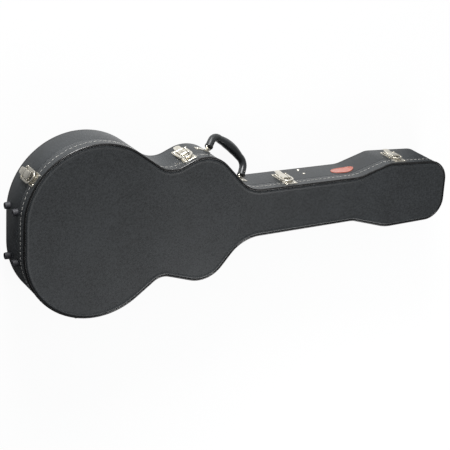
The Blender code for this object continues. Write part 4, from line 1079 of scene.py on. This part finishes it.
# Thin pad on the lid's wall
WALL_PAD = 3.0 * MM
WALL_PAD_EASE = 1.2 * MM
WALL_PAD_CLEARANCE = 2.0 * MM


def crowned_slab(outer, low, high, ease, direction):
    """Profile of a pad that fills the outline: flat on its board, its free side crowned."""
    seat = low if direction > 0 else high
    shoulder = high - low - PAD_CROWN
    rows = [(-outer - PAD_TUCK, seat), (-outer, seat + direction * 2 * PAD_TUCK)]
    for step in range(PAD_STEPS + 1):
        angle = math.pi / 2 * step / PAD_STEPS
        rise = shoulder - PAD_SHOULDER * ease * (1 - math.sin(angle))
        rows.append((-outer - ease * (1 - math.cos(angle)), seat + direction * rise))
    for run, share in CROWN_ROWS:
        rows.append((-outer - ease - run * MM, seat + direction * (shoulder + PAD_CROWN * share)))
    return rows


def side_pad_profile():
    """Cross-section of the pad inside the lip, from its foot up, over and down again."""
    foot = FLOOR_TOP + SEAT_GAP
    top = LIP_TOP - SIDE_PAD_DROP
    rows = [(-PAD_OUTER, foot)]
    rows += [(-PAD_OUTER - run * MM, top - depth * MM) for run, depth in SIDE_PAD_TOP]
    start = rows[-1][1]
    heel = FLOOR_TOP + SIDE_PAD_HEEL
    rows += [(-PAD_INNER + back * MM, start - share * (start - heel)) for share, back in SIDE_PAD_FACE]
    return rows + [(-PAD_INNER + SIDE_PAD_UNDERCUT, foot)]


class CASE_OT_lining(bpy.types.Operator):
    """Fit the padded plush lining of the base and the lid"""

    bl_idname = "case.lining"
    bl_label = "Lining"

    def execute(self, context):
        ease = context.scene.case_sizes.pad_ease
        rows = crowned_slab(PAD_OUTER, FLOOR_LEVEL, FLOOR_TOP, ease, 1)
        floor = piece("floor_pad", slab_shape(rows), "plush", "base", ["base_floor_pad"], SOFT_CREASE)
        rows = crowned_slab(WALL + SEAT_GAP, LID_PAD_UNDER, CEILING_LEVEL, ease, -1)
        lid = piece("lid_pad", slab_shape(rows), "plush", "lid", ["lid_face_pad"], SOFT_CREASE)
        rows = side_pad_profile()
        side = piece("side_pad", ring_shape(rows), "plush", "base", ["base_side_pad"], SOFT_CREASE)
        outer = -WALL - SEAT_GAP
        low, high = LIP_TOP + WALL_PAD_CLEARANCE, LID_PAD_UNDER - SEAT_GAP
        rows = band_profile(outer, outer - WALL_PAD, low, high, WALL_PAD_EASE)
        skin = piece("lid_wall_pad", ring_shape(rows), "plush", "lid", ["lid_side_pad"], SOFT_CREASE)
        return {"FINISHED"}


def world_axes(a, b, x):
    """Place a cross-section drawn in y and z, swept along x."""
    return Vector((x, a, b))


# Cradle: half width and depth of its round trough, and its rounded edges
CRADLE_HALF = 27.0 * MM
CRADLE_DEPTH = 17.0 * MM
CRADLE_EASE = 3.0 * MM


class CASE_OT_neck_cradle(bpy.types.Operator):
    """Shape the padded block that the neck rests in"""

    bl_idname = "case.neck_cradle"
    bl_label = "Neck Cradle"

    def execute(self, context):
        low, high = (Vector(corner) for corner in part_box("neck_cradle"))
        outline = [(low.y, low.z), (high.y, low.z), (high.y, high.z)]
        for degrees in range(0, -181, -12):
            angle = math.radians(degrees)
            outline.append((CRADLE_HALF * math.cos(angle), high.z + CRADLE_DEPTH * math.sin(angle)))
        outline.append((low.y, high.z))
        block = eased_prism(world_axes, outline, low.x, high.x, CRADLE_EASE)
        cradle = piece("neck_cradle_pad", block, "plush", "base", ["neck_cradle"], SOFT_CREASE)
        return {"FINISHED"}


# Compartment: rounding of its boards and lid, nose that the lid turns on, and pull tab
BOARD_EASE = 1.0 * MM
LID_EASE = 1.4 * MM
LID_NOSE = 2.4 * MM
TAB_CORNER = 3.0 * MM
TAB_EASE = 0.4 * MM


class CASE_OT_compartment(bpy.types.Operator):
    """Cover the accessory compartment, its lid and its pull tab"""

    bl_idname = "case.compartment"
    bl_label = "Accessory Compartment"

    def execute(self, context):
        for name in ("partition_body", "partition_head", "compartment_hinge_rail"):
            low, high = (Vector(corner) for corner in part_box(name))
            outline = [(low.y, low.z), (high.y, low.z), (high.y, high.z), (low.y, high.z)]
            shape = eased_prism(world_axes, outline, low.x, high.x, BOARD_EASE)
            piece(f"{name}_cover", shape, "plush", "base", [name], WALL_CREASE)
        low, high = (Vector(corner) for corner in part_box("compartment_lid"))
        nose = (low.y + LID_NOSE, low.z + LID_NOSE)
        outline = [(high.y, low.z), (high.y, high.z), (nose[0], high.z)]
        for degrees in range(90, 271, 20):
            angle = math.radians(degrees)
            outline.append((nose[0] + LID_NOSE * math.cos(angle), nose[1] + LID_NOSE * math.sin(angle)))
        shape = eased_prism(world_axes, outline, low.x, high.x, LID_EASE)
        piece("compartment_lid_cover", shape, "plush", "compartment_lid", ["compartment_lid"], WALL_CREASE)
        low, high = (Vector(corner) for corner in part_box("compartment_pull_tab"))
        outline = rounded_rectangle(low.to_2d(), high.to_2d(), TAB_CORNER)
        shape = eased_prism(lambda a, b, z: Vector((a, b, z)), outline, low.z, high.z, TAB_EASE)
        piece("pull_tab", shape, "leather", "compartment_lid", ["compartment_pull_tab"], WALL_CREASE)
        return {"FINISHED"}


class LatchFrame:
    """Axes of one latch, from the joint of its lever."""

    def __init__(self, name):
        joint = JOINTS[f"lever_{name}"]
        self.along = Vector(joint["axis"]).normalized()
        self.up = Vector((0.0, 0.0, 1.0))
        self.out = self.up.cross(self.along)
        pivot = Vector(joint["pos_m"])
        self.origin = pivot - self.out * PIVOT_OUT - self.up * PIVOT_LEVEL
        self.spot = WallSpot(HANDLE, self.origin.x, SPLIT)

    def face_on(self, along, up, out):
        """A form drawn along and up, swept out of the wall."""
        return self.origin + self.along * along + self.up * up + self.out * out

    def side_on(self, up, out, along):
        """A form drawn in up and out, swept along the wall."""
        return self.face_on(along, up, out)

    def turned(self, level, out):
        """Place of a turned form whose axis runs along the wall."""
        return lambda a, b, run: self.face_on(run, level + a, out + b)


# Where a rivet's dome starts, inside its plate
RIVET_SEAT = SEAT_GAP + 1.0 * MM


def rivet(spot, x, y, radius=2.4 * MM, height=1.5 * MM):
    """A domed rivet on a plate that is laid onto the wall."""
    dome = dome_profile(RIVET_SEAT, radius, height)
    return lathe(lambda a, b, run: spot.wrap(x + a, y + b, run), dome, SMALL_ROUND)


# Strike on the lid: half its width, its levels over the seam, its stamping, and the hook
# from the side as level and height over the wall, in millimetres
STRIKE_HALF = 15.5 * MM
STRIKE_LOW = 2.0 * MM
STRIKE_TOP = 25.0 * MM
STRIKE_RIM = 2.2 * MM
STRIKE_DIP = 0.5 * MM
CATCH_HALF = 6.5 * MM
CATCH_HOOK = ((11.0, 0.9), (11.0, 3.8), (10.6, 4.1), (7.6, 4.1), (7.0, 4.0), (5.0, 1.2), (4.2, 0.9))


class CASE_OT_strikes(bpy.types.Operator):
    """Press the strike plates and their catches on the lid"""

    bl_idname = "case.strikes"
    bl_label = "Strikes"

    def execute(self, context):
        ease = context.scene.case_sizes.metal_ease
        outline = rounded_rectangle((-STRIKE_HALF, STRIKE_LOW), (STRIKE_HALF, STRIKE_TOP), PLATE_CORNER)
        hook = [(level * MM, out * MM) for level, out in CATCH_HOOK]
        for name in LATCHES:
            at = LatchFrame(name)
            shapes = [stamped_plate(at.spot, outline, ease, STRIKE_RIM, STRIKE_DIP)]
            shapes.append(eased_prism(at.side_on, hook, -CATCH_HALF, CATCH_HALF, ease))
            for turn in (-1, 1):
                shapes.append(rivet(at.spot, turn * (STRIKE_HALF - RIVET_INSET), STRIKE_TOP - RIVET_INSET))
            piece(f"strike_{name}", shapes, "nickel", "lid", [f"latch_{name}_strike"], METAL_CREASE)
        return {"FINISHED"}


# Latch plate on the base: half its width, its levels under the seam, its stamping, the
# ears that hold the lever's pin and the rows of rivets
PLATE_HALF = 14.5 * MM
PLATE_LOW = -45.0 * MM
PLATE_TOP = -2.0 * MM
PLATE_RIM = 1.6 * MM
PLATE_DIP = 0.4 * MM
EAR_FOOT = 1.0 * MM
EAR_LOW = -8.4 * MM
EAR_TOP = -2.4 * MM
EAR_RADIUS = 2.9 * MM
EAR_SIDES = (8.8 * MM, 10.0 * MM)
EAR_EASE = 0.25 * MM
PLATE_PIN_HALF = 10.5 * MM
PLATE_RIVET_OUT = 0.78 * PLATE_HALF
PLATE_RIVET_LEVELS = (-11.0 * MM, PLATE_LOW + RIVET_INSET)


class CASE_OT_latch_plates(bpy.types.Operator):
    """Press the latch plates on the base, with their ears and pins"""

    bl_idname = "case.latch_plates"
    bl_label = "Latch Plates"

    def execute(self, context):
        ease = context.scene.case_sizes.metal_ease
        outline = rounded_rectangle((-PLATE_HALF, PLATE_LOW), (PLATE_HALF, PLATE_TOP), PLATE_CORNER)
        ear = [(EAR_LOW, EAR_FOOT), (EAR_TOP, EAR_FOOT)]
        for degrees in range(0, 181, 20):
            angle = math.radians(degrees)
            level = PIVOT_LEVEL + EAR_RADIUS * math.cos(angle)
            ear.append((level, PIVOT_OUT + EAR_RADIUS * math.sin(angle)))
        pin = pin_profile(-PLATE_PIN_HALF, PLATE_PIN_HALF, PIN_RADIUS, PIN_EASE)
        for name in LATCHES:
            at = LatchFrame(name)
            shapes = [stamped_plate(at.spot, outline, ease, PLATE_RIM, PLATE_DIP)]
            for turn in (-1, 1):
                ends = sorted(turn * end for end in EAR_SIDES)
                shapes.append(eased_prism(at.side_on, ear, *ends, EAR_EASE))
                shapes += [rivet(at.spot, turn * PLATE_RIVET_OUT, level) for level in PLATE_RIVET_LEVELS]
            shapes.append(lathe(at.turned(PIVOT_LEVEL, PIVOT_OUT), pin, SMALL_ROUND))
            piece(f"latch_plate_{name}", shapes, "nickel", "base", [f"latch_{name}_plate"], METAL_CREASE)
        return {"FINISHED"}


# Lever from its knuckle to the end of its tab: level, height over the wall, half
# width, crown across it and depth of its curled sides, all in millimetres
LEVER_STATIONS = (
    (-3.2, 6.9, 8.3, 0.1, 0.5),
    (-6.0, 7.1, 8.5, 0.4, 1.6),
    (-14.0, 7.15, 8.5, 0.7, 2.0),
    (-24.0, 7.1, 8.5, 0.6, 2.0),
    (-29.0, 7.1, 8.4, 0.4, 1.4),
    (-33.0, 7.5, 8.0, 0.3, 0.7),
    (-39.0, 8.3, 7.9, 0.2, 0.4),
    (-43.5, 8.6, 7.2, 0.1, 0.3),
    (-46.0, 8.6, 5.4, 0.05, 0.2),
    (-46.9, 8.55, 3.2, 0.0, 0.1),
)
LEVER_RINGS = 30
LEVER_SKIN = 1.4 * MM
LEVER_LIFT = 0.5 * MM
LEVER_UNDERCUT = 0.9 * MM

# Shares of the half width where a ring has points, and where and how its sides curl down
LEVER_SHARES = (-1.0, -0.985, -0.94, -0.85, -0.6, -0.3, 0.0, 0.3, 0.6, 0.85, 0.94, 0.985, 1.0)
CURL_START = 0.8
CURL_POWER = 2.2

# Turned parts of a lever: the knuckle round the plate's pin, the boss and pin of the link
KNUCKLE_HALF = 8.3 * MM
BOSS_HALF = 7.9 * MM
BOSS_RADIUS = 2.8 * MM
BOSS_EASE = 0.4 * MM
LINK_PIN_HALF = 16.2 * MM
LINK_LEVEL = PIVOT_LEVEL - LINK_DROP


def lever_ring(at, level, height, half, crown, curl):
    """One cross-section of a pressed lever: crowned on top, its sides curled down."""
    top = []
    for share in LEVER_SHARES:
        drop = curl * max(0.0, (abs(share) - CURL_START) / (1 - CURL_START)) ** CURL_POWER
        top.append((half * share, height + LEVER_LIFT + crown * (1 - share * share) - drop))
    narrowed = (half - LEVER_UNDERCUT) / half
    under = [(run * narrowed, rise - LEVER_SKIN) for run, rise in reversed(top)]
    return [at.face_on(run, level, rise) for run, rise in top + under]


class CASE_OT_levers(bpy.types.Operator):
    """Draw the pressed levers with their curled sides, knuckles and link pins"""

    bl_idname = "case.levers"
    bl_label = "Levers"

    def execute(self, context):
        stations = [row * MM for row in spline(LEVER_STATIONS, LEVER_RINGS)]
        knuckle = pin_profile(-KNUCKLE_HALF, KNUCKLE_HALF, BOSS_RADIUS, BOSS_EASE)
        boss = pin_profile(-BOSS_HALF, BOSS_HALF, BOSS_RADIUS, BOSS_EASE)
        pin = pin_profile(-LINK_PIN_HALF, LINK_PIN_HALF, PIN_RADIUS, PIN_EASE)
        for name in LATCHES:
            at = LatchFrame(name)
            shapes = [Shape().loft([lever_ring(at, *row) for row in stations])]
            shapes.append(lathe(at.turned(PIVOT_LEVEL, PIVOT_OUT), knuckle))
            shapes.append(lathe(at.turned(LINK_LEVEL, PIVOT_OUT), boss))
            shapes.append(lathe(at.turned(LINK_LEVEL, PIVOT_OUT), pin, SMALL_ROUND))
            piece(f"lever_{name}", shapes, "nickel", f"lever_{name}", [f"latch_{name}_lever"], METAL_CREASE)
        refinish("key_lock_barrel", "nickel")
        return {"FINISHED"}


# Hasp: radius and middle of its round end, flat bar that it is bent from, and its eyes
HASP_RADIUS = 13.45 * MM
HASP_MIDDLE = 0.1 * MM
HASP_BAR = (2.25 * MM, 0.8 * MM)
HASP_BAR_ROUND = 0.7 * MM
HASP_LEG_START = LINK_LEVEL + 2.0 * MM
HASP_LEG_STEPS = 5
HASP_EYE = (11.4 * MM, 15.5 * MM)
HASP_EYE_RADIUS = 2.6 * MM


def hasp_path():
    """Middle of the bent bar: across, level and heading, up one leg and down the other."""
    rise = (HASP_MIDDLE - HASP_LEG_START) / HASP_LEG_STEPS
    legs = [HASP_LEG_START + rise * step for step in range(HASP_LEG_STEPS)]
    path = [(HASP_RADIUS, level, 0.0) for level in legs]
    for degrees in range(0, 181, 12):
        angle = math.radians(degrees)
        path.append((HASP_RADIUS * math.cos(angle), HASP_MIDDLE + HASP_RADIUS * math.sin(angle), angle))
    return path + [(-HASP_RADIUS, level, math.pi) for level in reversed(legs)]


class CASE_OT_hasps(bpy.types.Operator):
    """Bend the horseshoe hasps that pull on the catches"""

    bl_idname = "case.hasps"
    bl_label = "Hasps"

    def execute(self, context):
        half, thick = HASP_BAR
        bar = rounded_rectangle((-half, -thick), (half, thick), HASP_BAR_ROUND, 4)
        for name in LATCHES:
            at = LatchFrame(name)
            rings = []
            for x, y, angle in hasp_path():
                side = Vector((math.cos(angle), math.sin(angle)))
                rings.append([at.face_on(x + side.x * a, y + side.y * a, PIVOT_OUT + b) for a, b in bar])
            shapes = [Shape().loft(rings)]
            for turn in (-1, 1):
                eye = pin_profile(*sorted(turn * end for end in HASP_EYE), HASP_EYE_RADIUS, BOSS_EASE)
                shapes.append(lathe(at.turned(LINK_LEVEL, PIVOT_OUT), eye))
            piece(f"hasp_{name}", shapes, "nickel", f"hasp_{name}", [f"latch_{name}_hasp"], METAL_CREASE)
        return {"FINISHED"}


class CASE_OT_hinges(bpy.types.Operator):
    """Give the leaves and pins of the hinges on the spine side their nickel finish"""

    bl_idname = "case.hinges"
    bl_label = "Hinges"

    def execute(self, context):
        for name in ("butt", "bout", "head"):
            for part in ("base_leaf", "lid_leaf", "pin"):
                refinish(f"hinge_{name}_{part}", "nickel")
        return {"FINISHED"}


class HandleFrame:
    """Axes of the handle, from the places where its brackets stand."""

    def __init__(self):
        spots = [WallSpot(HANDLE, station, HANDLE_LEVEL) for station in HANDLE_STATIONS]
        middle = Vector(JOINTS["handle_swing"]["pos_m"])
        self.run = Vector(JOINTS["handle_swing"]["axis"]).normalized()
        self.out = Vector((0.0, 0.0, 1.0)).cross(self.run)
        ends = [spot.flat(0.0, 0.0, HANDLE_PIVOT_OUT) for spot in spots]
        self.span = (ends[1] - ends[0]).length
        self.left = middle - self.run * self.span / 2
        self.spots = spots

    def level(self, along, rise, up):
        """World point in the upright frame at the left pivot."""
        return self.left + self.run * along + self.out * rise + Vector((0.0, 0.0, up))

    def drooped(self, along, rise, up):
        """World point in the frame of the handle, which droops toward the back."""
        out = rise * math.cos(HANDLE_DROOP) + up * math.sin(HANDLE_DROOP)
        height = up * math.cos(HANDLE_DROOP) - rise * math.sin(HANDLE_DROOP)
        return self.level(along, out, height)


# Legs of the grip: foot over the pivot, lean inward in degrees, half height, and half
# width as a share of it
LEG_FOOT = 4.2 * MM
LEG_LEAN = 5.0
LEG_HALF = 8.8 * MM
LEG_FLATTEN = 0.96
LEG_START = 6.0 * MM
LEG_STEPS = 3

# Bends and the bar between them: what each adds to half height and half width, in
# millimetres, and how the bar swells toward its middle
GRIP_RISE = 40.2 * MM
GRIP_BEND = 20.0 * MM
GRIP_CROWN = 4.3 * MM
BEND_STEPS = 8
BEND_ADDS = (0.6, 0.5)
BAR_STEPS = 10
BAR_ADDS = (3.0, 2.5)
BAR_START = 0.2
BAR_POWER = 0.9

# Moulded collar at the foot of each leg: run, half height and half width, in millimetres
COLLAR = (
    (0.0, 8.9, 8.3), (0.35, 9.6, 9.0), (1.0, 9.8, 9.2), (3.8, 9.8, 9.2), (4.5, 9.6, 9.0), (4.7, 8.8, 8.4),
)

# Skin of the grip: parting ridge along both flanks, flatter inner side, finger waves
GRIP_SIDES = 36
RIDGE_RISE = 0.035
RIDGE_WIDTH = 0.012
INNER_FLAT = 0.07
INNER_SINK = 0.3 * MM
WAVE_HALF = 38.0 * MM
WAVE_FADE = 8.0 * MM
WAVE_LENGTH = 21.0 * MM
WAVE_DEPTH = 0.275 * MM
GRIP_SQUEEZE = 0.985


def grip_path(span):
    """Centre line of the grip: along, rise, tilt, half height and half width."""
    lean = 90.0 - LEG_LEAN
    heading = math.radians(lean)
    reach = (GRIP_RISE - GRIP_BEND * (1 - math.cos(heading))) / math.sin(heading)
    turn_x = reach * math.cos(heading) + GRIP_BEND * math.sin(heading)
    runs = [(LEG_FOOT + run * MM, height * MM, width * MM) for run, height, width in COLLAR]
    start = LEG_FOOT + LEG_START
    for step in range(LEG_STEPS):
        runs.append((start + (reach - start) * step / LEG_STEPS, LEG_HALF, LEG_HALF * LEG_FLATTEN))
    rows = [(run * math.cos(heading), run * math.sin(heading), lean, tall, wide) for run, tall, wide in runs]

    def add(x, y, tilt, tall, wide):
        rows.append((x, y, tilt, LEG_HALF + tall * MM, LEG_HALF * LEG_FLATTEN + wide * MM))

    for step in range(BEND_STEPS + 1):
        share = step / BEND_STEPS
        angle = heading * (1 - share)
        x = turn_x - GRIP_BEND * math.sin(angle)
        y = GRIP_RISE - GRIP_BEND * (1 - math.cos(angle))
        add(x, y, lean * (1 - share), *(gain * share for gain in BEND_ADDS))
    for step in range(1, BAR_STEPS + 1):
        share = step / BAR_STEPS
        x = turn_x + (span / 2 - turn_x) * share
        y = GRIP_RISE + GRIP_CROWN * share * (2 - share)
        swell = BAR_START + (1 - BAR_START) * math.sin(math.pi / 2 * share) ** BAR_POWER
        add(x, y, 0.0, *(gain * swell for gain in BAR_ADDS))
    mirrored = [(span - x, y, -tilt, a, b) for x, y, tilt, a, b in reversed(rows[:-1])]
    return rows + mirrored


class CASE_OT_handle_grip(bpy.types.Operator):
    """Mould the grip, with its collars, finger waves and parting ridge"""

    bl_idname = "case.handle_grip"
    bl_label = "Handle Grip"

    def execute(self, context):
        at = HandleFrame()
        rings = []
        for x, y, tilt, tall, wide in grip_path(at.span):
            angle = math.radians(tilt)
            fade = max(0.0, min(1.0, (WAVE_HALF - abs(x - at.span / 2)) / WAVE_FADE))
            wave = WAVE_DEPTH * fade * math.cos(2 * math.pi * (x - at.span / 2) / WAVE_LENGTH)
            ring = []
            for a, b in circle(0.0, 0.0, 1.0, GRIP_SIDES):
                ridge = 1 + RIDGE_RISE * math.exp(-((abs(b) - 1.0) / RIDGE_WIDTH) ** 2)
                inner = max(0.0, -a)
                high = tall * (1 - INNER_FLAT * inner ** 3) - wave * inner - INNER_SINK * (a < 0)
                along = x - math.sin(angle) * high * a
                rise = y + math.cos(angle) * high * a
                ring.append(at.drooped(along, rise, wide * GRIP_SQUEEZE * ridge * b))
            rings.append(ring)
        piece("grip", Shape().loft(rings), "plastic", "handle", ["handle_grip"], GRIP_CREASE)
        return {"FINISHED"}


# Wire loop through each bracket: wire, half width, corners and how far it enters the grip
LOOP_WIRE = 1.5 * MM
LOOP_HALF = 6.6 * MM
LOOP_BEND = 2.2 * MM
LOOP_TOP = LEG_FOOT + 0.5 * MM
LOOP_SIDES = 14


def loop_path():
    """Middle of the wire from one end to the other: across, rise and heading in degrees."""
    path = [(-LOOP_HALF, LOOP_TOP, 90.0), (-LOOP_HALF, LOOP_BEND, 90.0)]
    for degrees in (67.5, 45.0, 22.5, 0.0):
        angle = math.radians(degrees)
        x = -LOOP_HALF + LOOP_BEND * (1 - math.sin(angle))
        path.append((x, LOOP_BEND * (1 - math.cos(angle)), degrees))
    return path + [(-x, y, -tilt) for x, y, tilt in reversed(path)]


class CASE_OT_handle_loops(bpy.types.Operator):
    """Bend the wire loops that carry the grip"""

    bl_idname = "case.handle_loops"
    bl_label = "Handle Loops"

    def execute(self, context):
        at = HandleFrame()
        for name, centre, inward in (("left", 0.0, 1), ("right", at.span, -1)):
            rings = []
            for x, y, tilt in loop_path():
                angle = math.radians(tilt)
                lean = inward * math.radians(LEG_LEAN) * max(0.0, y) / LOOP_TOP
                ring = []
                for a, b in circle(0.0, 0.0, LOOP_WIRE, LOOP_SIDES):
                    run = x + math.sin(angle) * a
                    rise = y + math.cos(angle) * a
                    along = centre + run * math.cos(lean) + rise * math.sin(lean)
                    ring.append(at.drooped(along, rise * math.cos(lean) - run * math.sin(lean), b))
                rings.append(ring)
            loop = Shape().loft(rings)
            piece(f"loop_{name}", loop, "nickel", "handle", [f"handle_loop_{name}"], SOFT_CREASE)
        return {"FINISHED"}


# Bracket: plate reach toward the grip and away from it on each side, half height and
# stamping, post from the wall to the barrel, and the barrel that the loop turns in
BRACKET_INWARD = 7.0 * MM
BRACKET_OUTWARD = {"left": 31.0 * MM, "right": 18.0 * MM}
BRACKET_HALF = 7.5 * MM
BRACKET_RIM = 1.2 * MM
BRACKET_DIP = 0.3 * MM
BRACKET_RIVET_INSET = 6.0 * MM
POST_HALF = 3.6 * MM
POST_ROOT = (2.6 * MM, 1.0 * MM)
POST_HEAD = (1.7 * MM, -2.2 * MM)
BARREL_HALF = 4.4 * MM
BARREL_RADIUS = 3.1 * MM


class CASE_OT_handle_brackets(bpy.types.Operator):
    """Press the brackets that hold the handle's loops"""

    bl_idname = "case.handle_brackets"
    bl_label = "Handle Brackets"

    def execute(self, context):
        ease = context.scene.case_sizes.metal_ease
        at = HandleFrame()
        barrel = pin_profile(-BARREL_HALF, BARREL_HALF, BARREL_RADIUS, BOSS_EASE)
        for name, spot, centre, inward in zip(("left", "right"), at.spots, (0.0, at.span), (1, -1)):
            outboard = BRACKET_OUTWARD[name]
            low, high = sorted((inward * BRACKET_INWARD, -inward * outboard))
            outline = rounded_rectangle((low, -BRACKET_HALF), (high, BRACKET_HALF), PLATE_CORNER)
            shapes = [stamped_plate(spot, outline, ease, BRACKET_RIM, BRACKET_DIP)]

            def turned(a, b, run, centre=centre):
                return at.level(centre + run, a, b)

            root = []
            head = []
            for x, z in ((-1, -1), (1, -1), (1, 1), (-1, 1)):
                root.append(spot.flat(x * POST_HALF, z * POST_ROOT[0], POST_ROOT[1]))
                head.append(turned(POST_HEAD[1], z * POST_HEAD[0], x * POST_HALF))
            shapes.append(Shape().loft([root, head]))
            shapes.append(lathe(turned, barrel))
            shapes.append(rivet(spot, -inward * (outboard - BRACKET_RIVET_INSET), 0.0))
            piece(f"bracket_{name}", shapes, "nickel", "base", [f"handle_bracket_{name}"], METAL_CREASE)
        return {"FINISHED"}


# Feet: how far they stand off the butt, their places, and turned profiles as run from
# the foot's end and radius, in millimetres. The pad is cupped round its screw
FOOT_REACH = 9.0 * MM
FOOT_ROWS = (("handle", 56.5 * MM), ("spine", -56.5 * MM))
FOOT_LEVELS = (("low", 16.6 * MM), ("high", 61.5 * MM))
FOOT_ROOT = 7.0 * MM
FOOT_ROOT_RADIUS = 8.0 * MM
FOOT_WALL_RADIUS = 7.9 * MM
FOOT_NOSE = (
    (2.2, 7.35), (0.9, 7.2), (0.3, 6.9), (0.0, 6.3), (0.0, 4.6), (0.25, 4.0), (0.8, 3.7), (4.6, 3.5),
)
FOOT_SCREW = ((5.0, 3.4), (3.6, 3.4), (3.1, 3.0), (2.9, 2.0), (2.8, 0.2))


def butt_wall(y):
    """Where the butt's wall stands at a distance from the neck axis."""
    for a, b in zip(OUTLINE.base, OUTLINE.base[1:] + OUTLINE.base[:1]):
        if max(a.x, b.x) < BUTT_FACE and min(a.y, b.y) <= y <= max(a.y, b.y) and a.y != b.y:
            return a.x + (b.x - a.x) * (y - a.y) / (b.y - a.y)
    raise ValueError("no wall there")


class CASE_OT_feet(bpy.types.Operator):
    """Screw the rubber feet onto the butt"""

    bl_idname = "case.feet"
    bl_label = "Feet"

    def execute(self, context):
        end = BUTT_X - FOOT_REACH
        nose = [(run * MM, radius * MM) for run, radius in FOOT_NOSE]
        screw = [(run * MM, radius * MM) for run, radius in FOOT_SCREW]
        for row, y in FOOT_ROWS:
            wall = butt_wall(y) - end
            pad = [(wall + FOOT_ROOT, FOOT_ROOT_RADIUS), (wall, FOOT_WALL_RADIUS), *nose]
            for height, level in FOOT_LEVELS:

                def place(a, b, run, y=y, level=level):
                    return Vector((end + run, y + a, level + b))

                name = f"foot_{row}_{height}"
                piece(f"{name}_pad", lathe(place, pad), "rubber", "base", [name], WALL_CREASE)
                piece(f"{name}_screw", lathe(place, screw, SMALL_ROUND), "nickel", "base", (), METAL_CREASE)
        return {"FINISHED"}


# Rivets of the partition: station, levels, and radius and height of a head
RIVET_STATION = 175.0 * MM
RIVET_LEVELS = (("low", 14.5 * MM), ("high", 40.5 * MM))
RIVET_HEAD = (3.6 * MM, 2.3 * MM)


class CASE_OT_rivets(bpy.types.Operator):
    """Set the rivets that hold the partition"""

    bl_idname = "case.rivets"
    bl_label = "Partition Rivets"

    def execute(self, context):
        for name, level in RIVET_LEVELS:
            spot = WallSpot(HANDLE, RIVET_STATION, level)
            head = lathe(spot.flat, dome_profile(-SEAT_GAP, *RIVET_HEAD, 6))
            piece(f"rivet_{name}", head, "nickel", "base", [f"partition_rivet_{name}"], SOFT_CREASE)
        return {"FINISHED"}


# Badge: its place, half its length and height, and its section from the edge to the
# middle as a share of them and height over the wall in millimetres
BADGE_STATION = 272.0 * MM
BADGE_LEVEL = 50.0 * MM
BADGE_HALF = (30.0 * MM, 15.5 * MM)
BADGE_SIDES = 64
BADGE_SECTION = (
    (1.0, -0.3), (1.0, 1.3), (0.99, 1.7), (0.965, 1.9), (0.93, 1.9), (0.905, 1.7),
    (0.89, 1.4), (0.7, 1.45), (0.45, 1.5), (0.2, 1.52), (0.02, 1.52),
)


class CASE_OT_badge(bpy.types.Operator):
    """Press the plain oval badge, enamelled inside its rim"""

    bl_idname = "case.badge"
    bl_label = "Badge"

    def execute(self, context):
        spot = WallSpot(HANDLE, BADGE_STATION, BADGE_LEVEL)
        length, height = BADGE_HALF
        rings = []
        for share, out in BADGE_SECTION:
            ring = []
            for x, y in circle(0.0, 0.0, share, BADGE_SIDES):
                ring.append(spot.wrap(length * x, height * y, out * MM))
            rings.append(ring)
        piece("badge", Shape().loft(rings), "enamel", "base", ["oval_badge"], SOFT_CREASE)
        return {"FINISHED"}


OPERATORS = (
    CASE_OT_camera, CASE_OT_stage, CASE_OT_walls, CASE_OT_panels, CASE_OT_beads, CASE_OT_stitching,
    CASE_OT_inner_lip, CASE_OT_lining, CASE_OT_neck_cradle, CASE_OT_compartment, CASE_OT_strikes,
    CASE_OT_latch_plates, CASE_OT_levers, CASE_OT_hasps, CASE_OT_hinges, CASE_OT_handle_grip,
    CASE_OT_handle_loops, CASE_OT_handle_brackets, CASE_OT_feet, CASE_OT_rivets, CASE_OT_badge,
)


class CASE_PT_pieces(bpy.types.Panel):
    """Lists the sizes, the colours and the steps that build the case"""

    bl_idname = "CASE_PT_pieces"
    bl_label = "Guitar Case"
    bl_space_type = "VIEW_3D"
    bl_region_type = "UI"
    bl_category = "Case"

    def draw(self, context):
        layout = self.layout
        for group in (context.scene.case_sizes, context.scene.case_colours):
            column = layout.column()
            for name in group.bl_rna.properties.keys():
                if name not in ("rna_type", "name"):
                    column.prop(group, name)
        column = layout.column()
        for operator in OPERATORS:
            column.operator(operator.bl_idname)


CLASSES = (CaseSizes, CaseColours, *OPERATORS, CASE_PT_pieces)


def register():
    """Makes the sizes, colours, steps and panel known to Blender."""
    for item in CLASSES:
        bpy.utils.register_class(item)
    bpy.types.Scene.case_sizes = bpy.props.PointerProperty(type=CaseSizes)
    bpy.types.Scene.case_colours = bpy.props.PointerProperty(type=CaseColours)


def unregister():
    """Takes them out again."""
    del bpy.types.Scene.case_colours
    del bpy.types.Scene.case_sizes
    for item in reversed(CLASSES):
        bpy.utils.unregister_class(item)


def main():
    """Builds the case and its studio."""
    register()
    for operator in OPERATORS:
        group, step = operator.bl_idname.split(".")
        getattr(getattr(bpy.ops, group), step)()


if __name__ == "__main__":
    main()
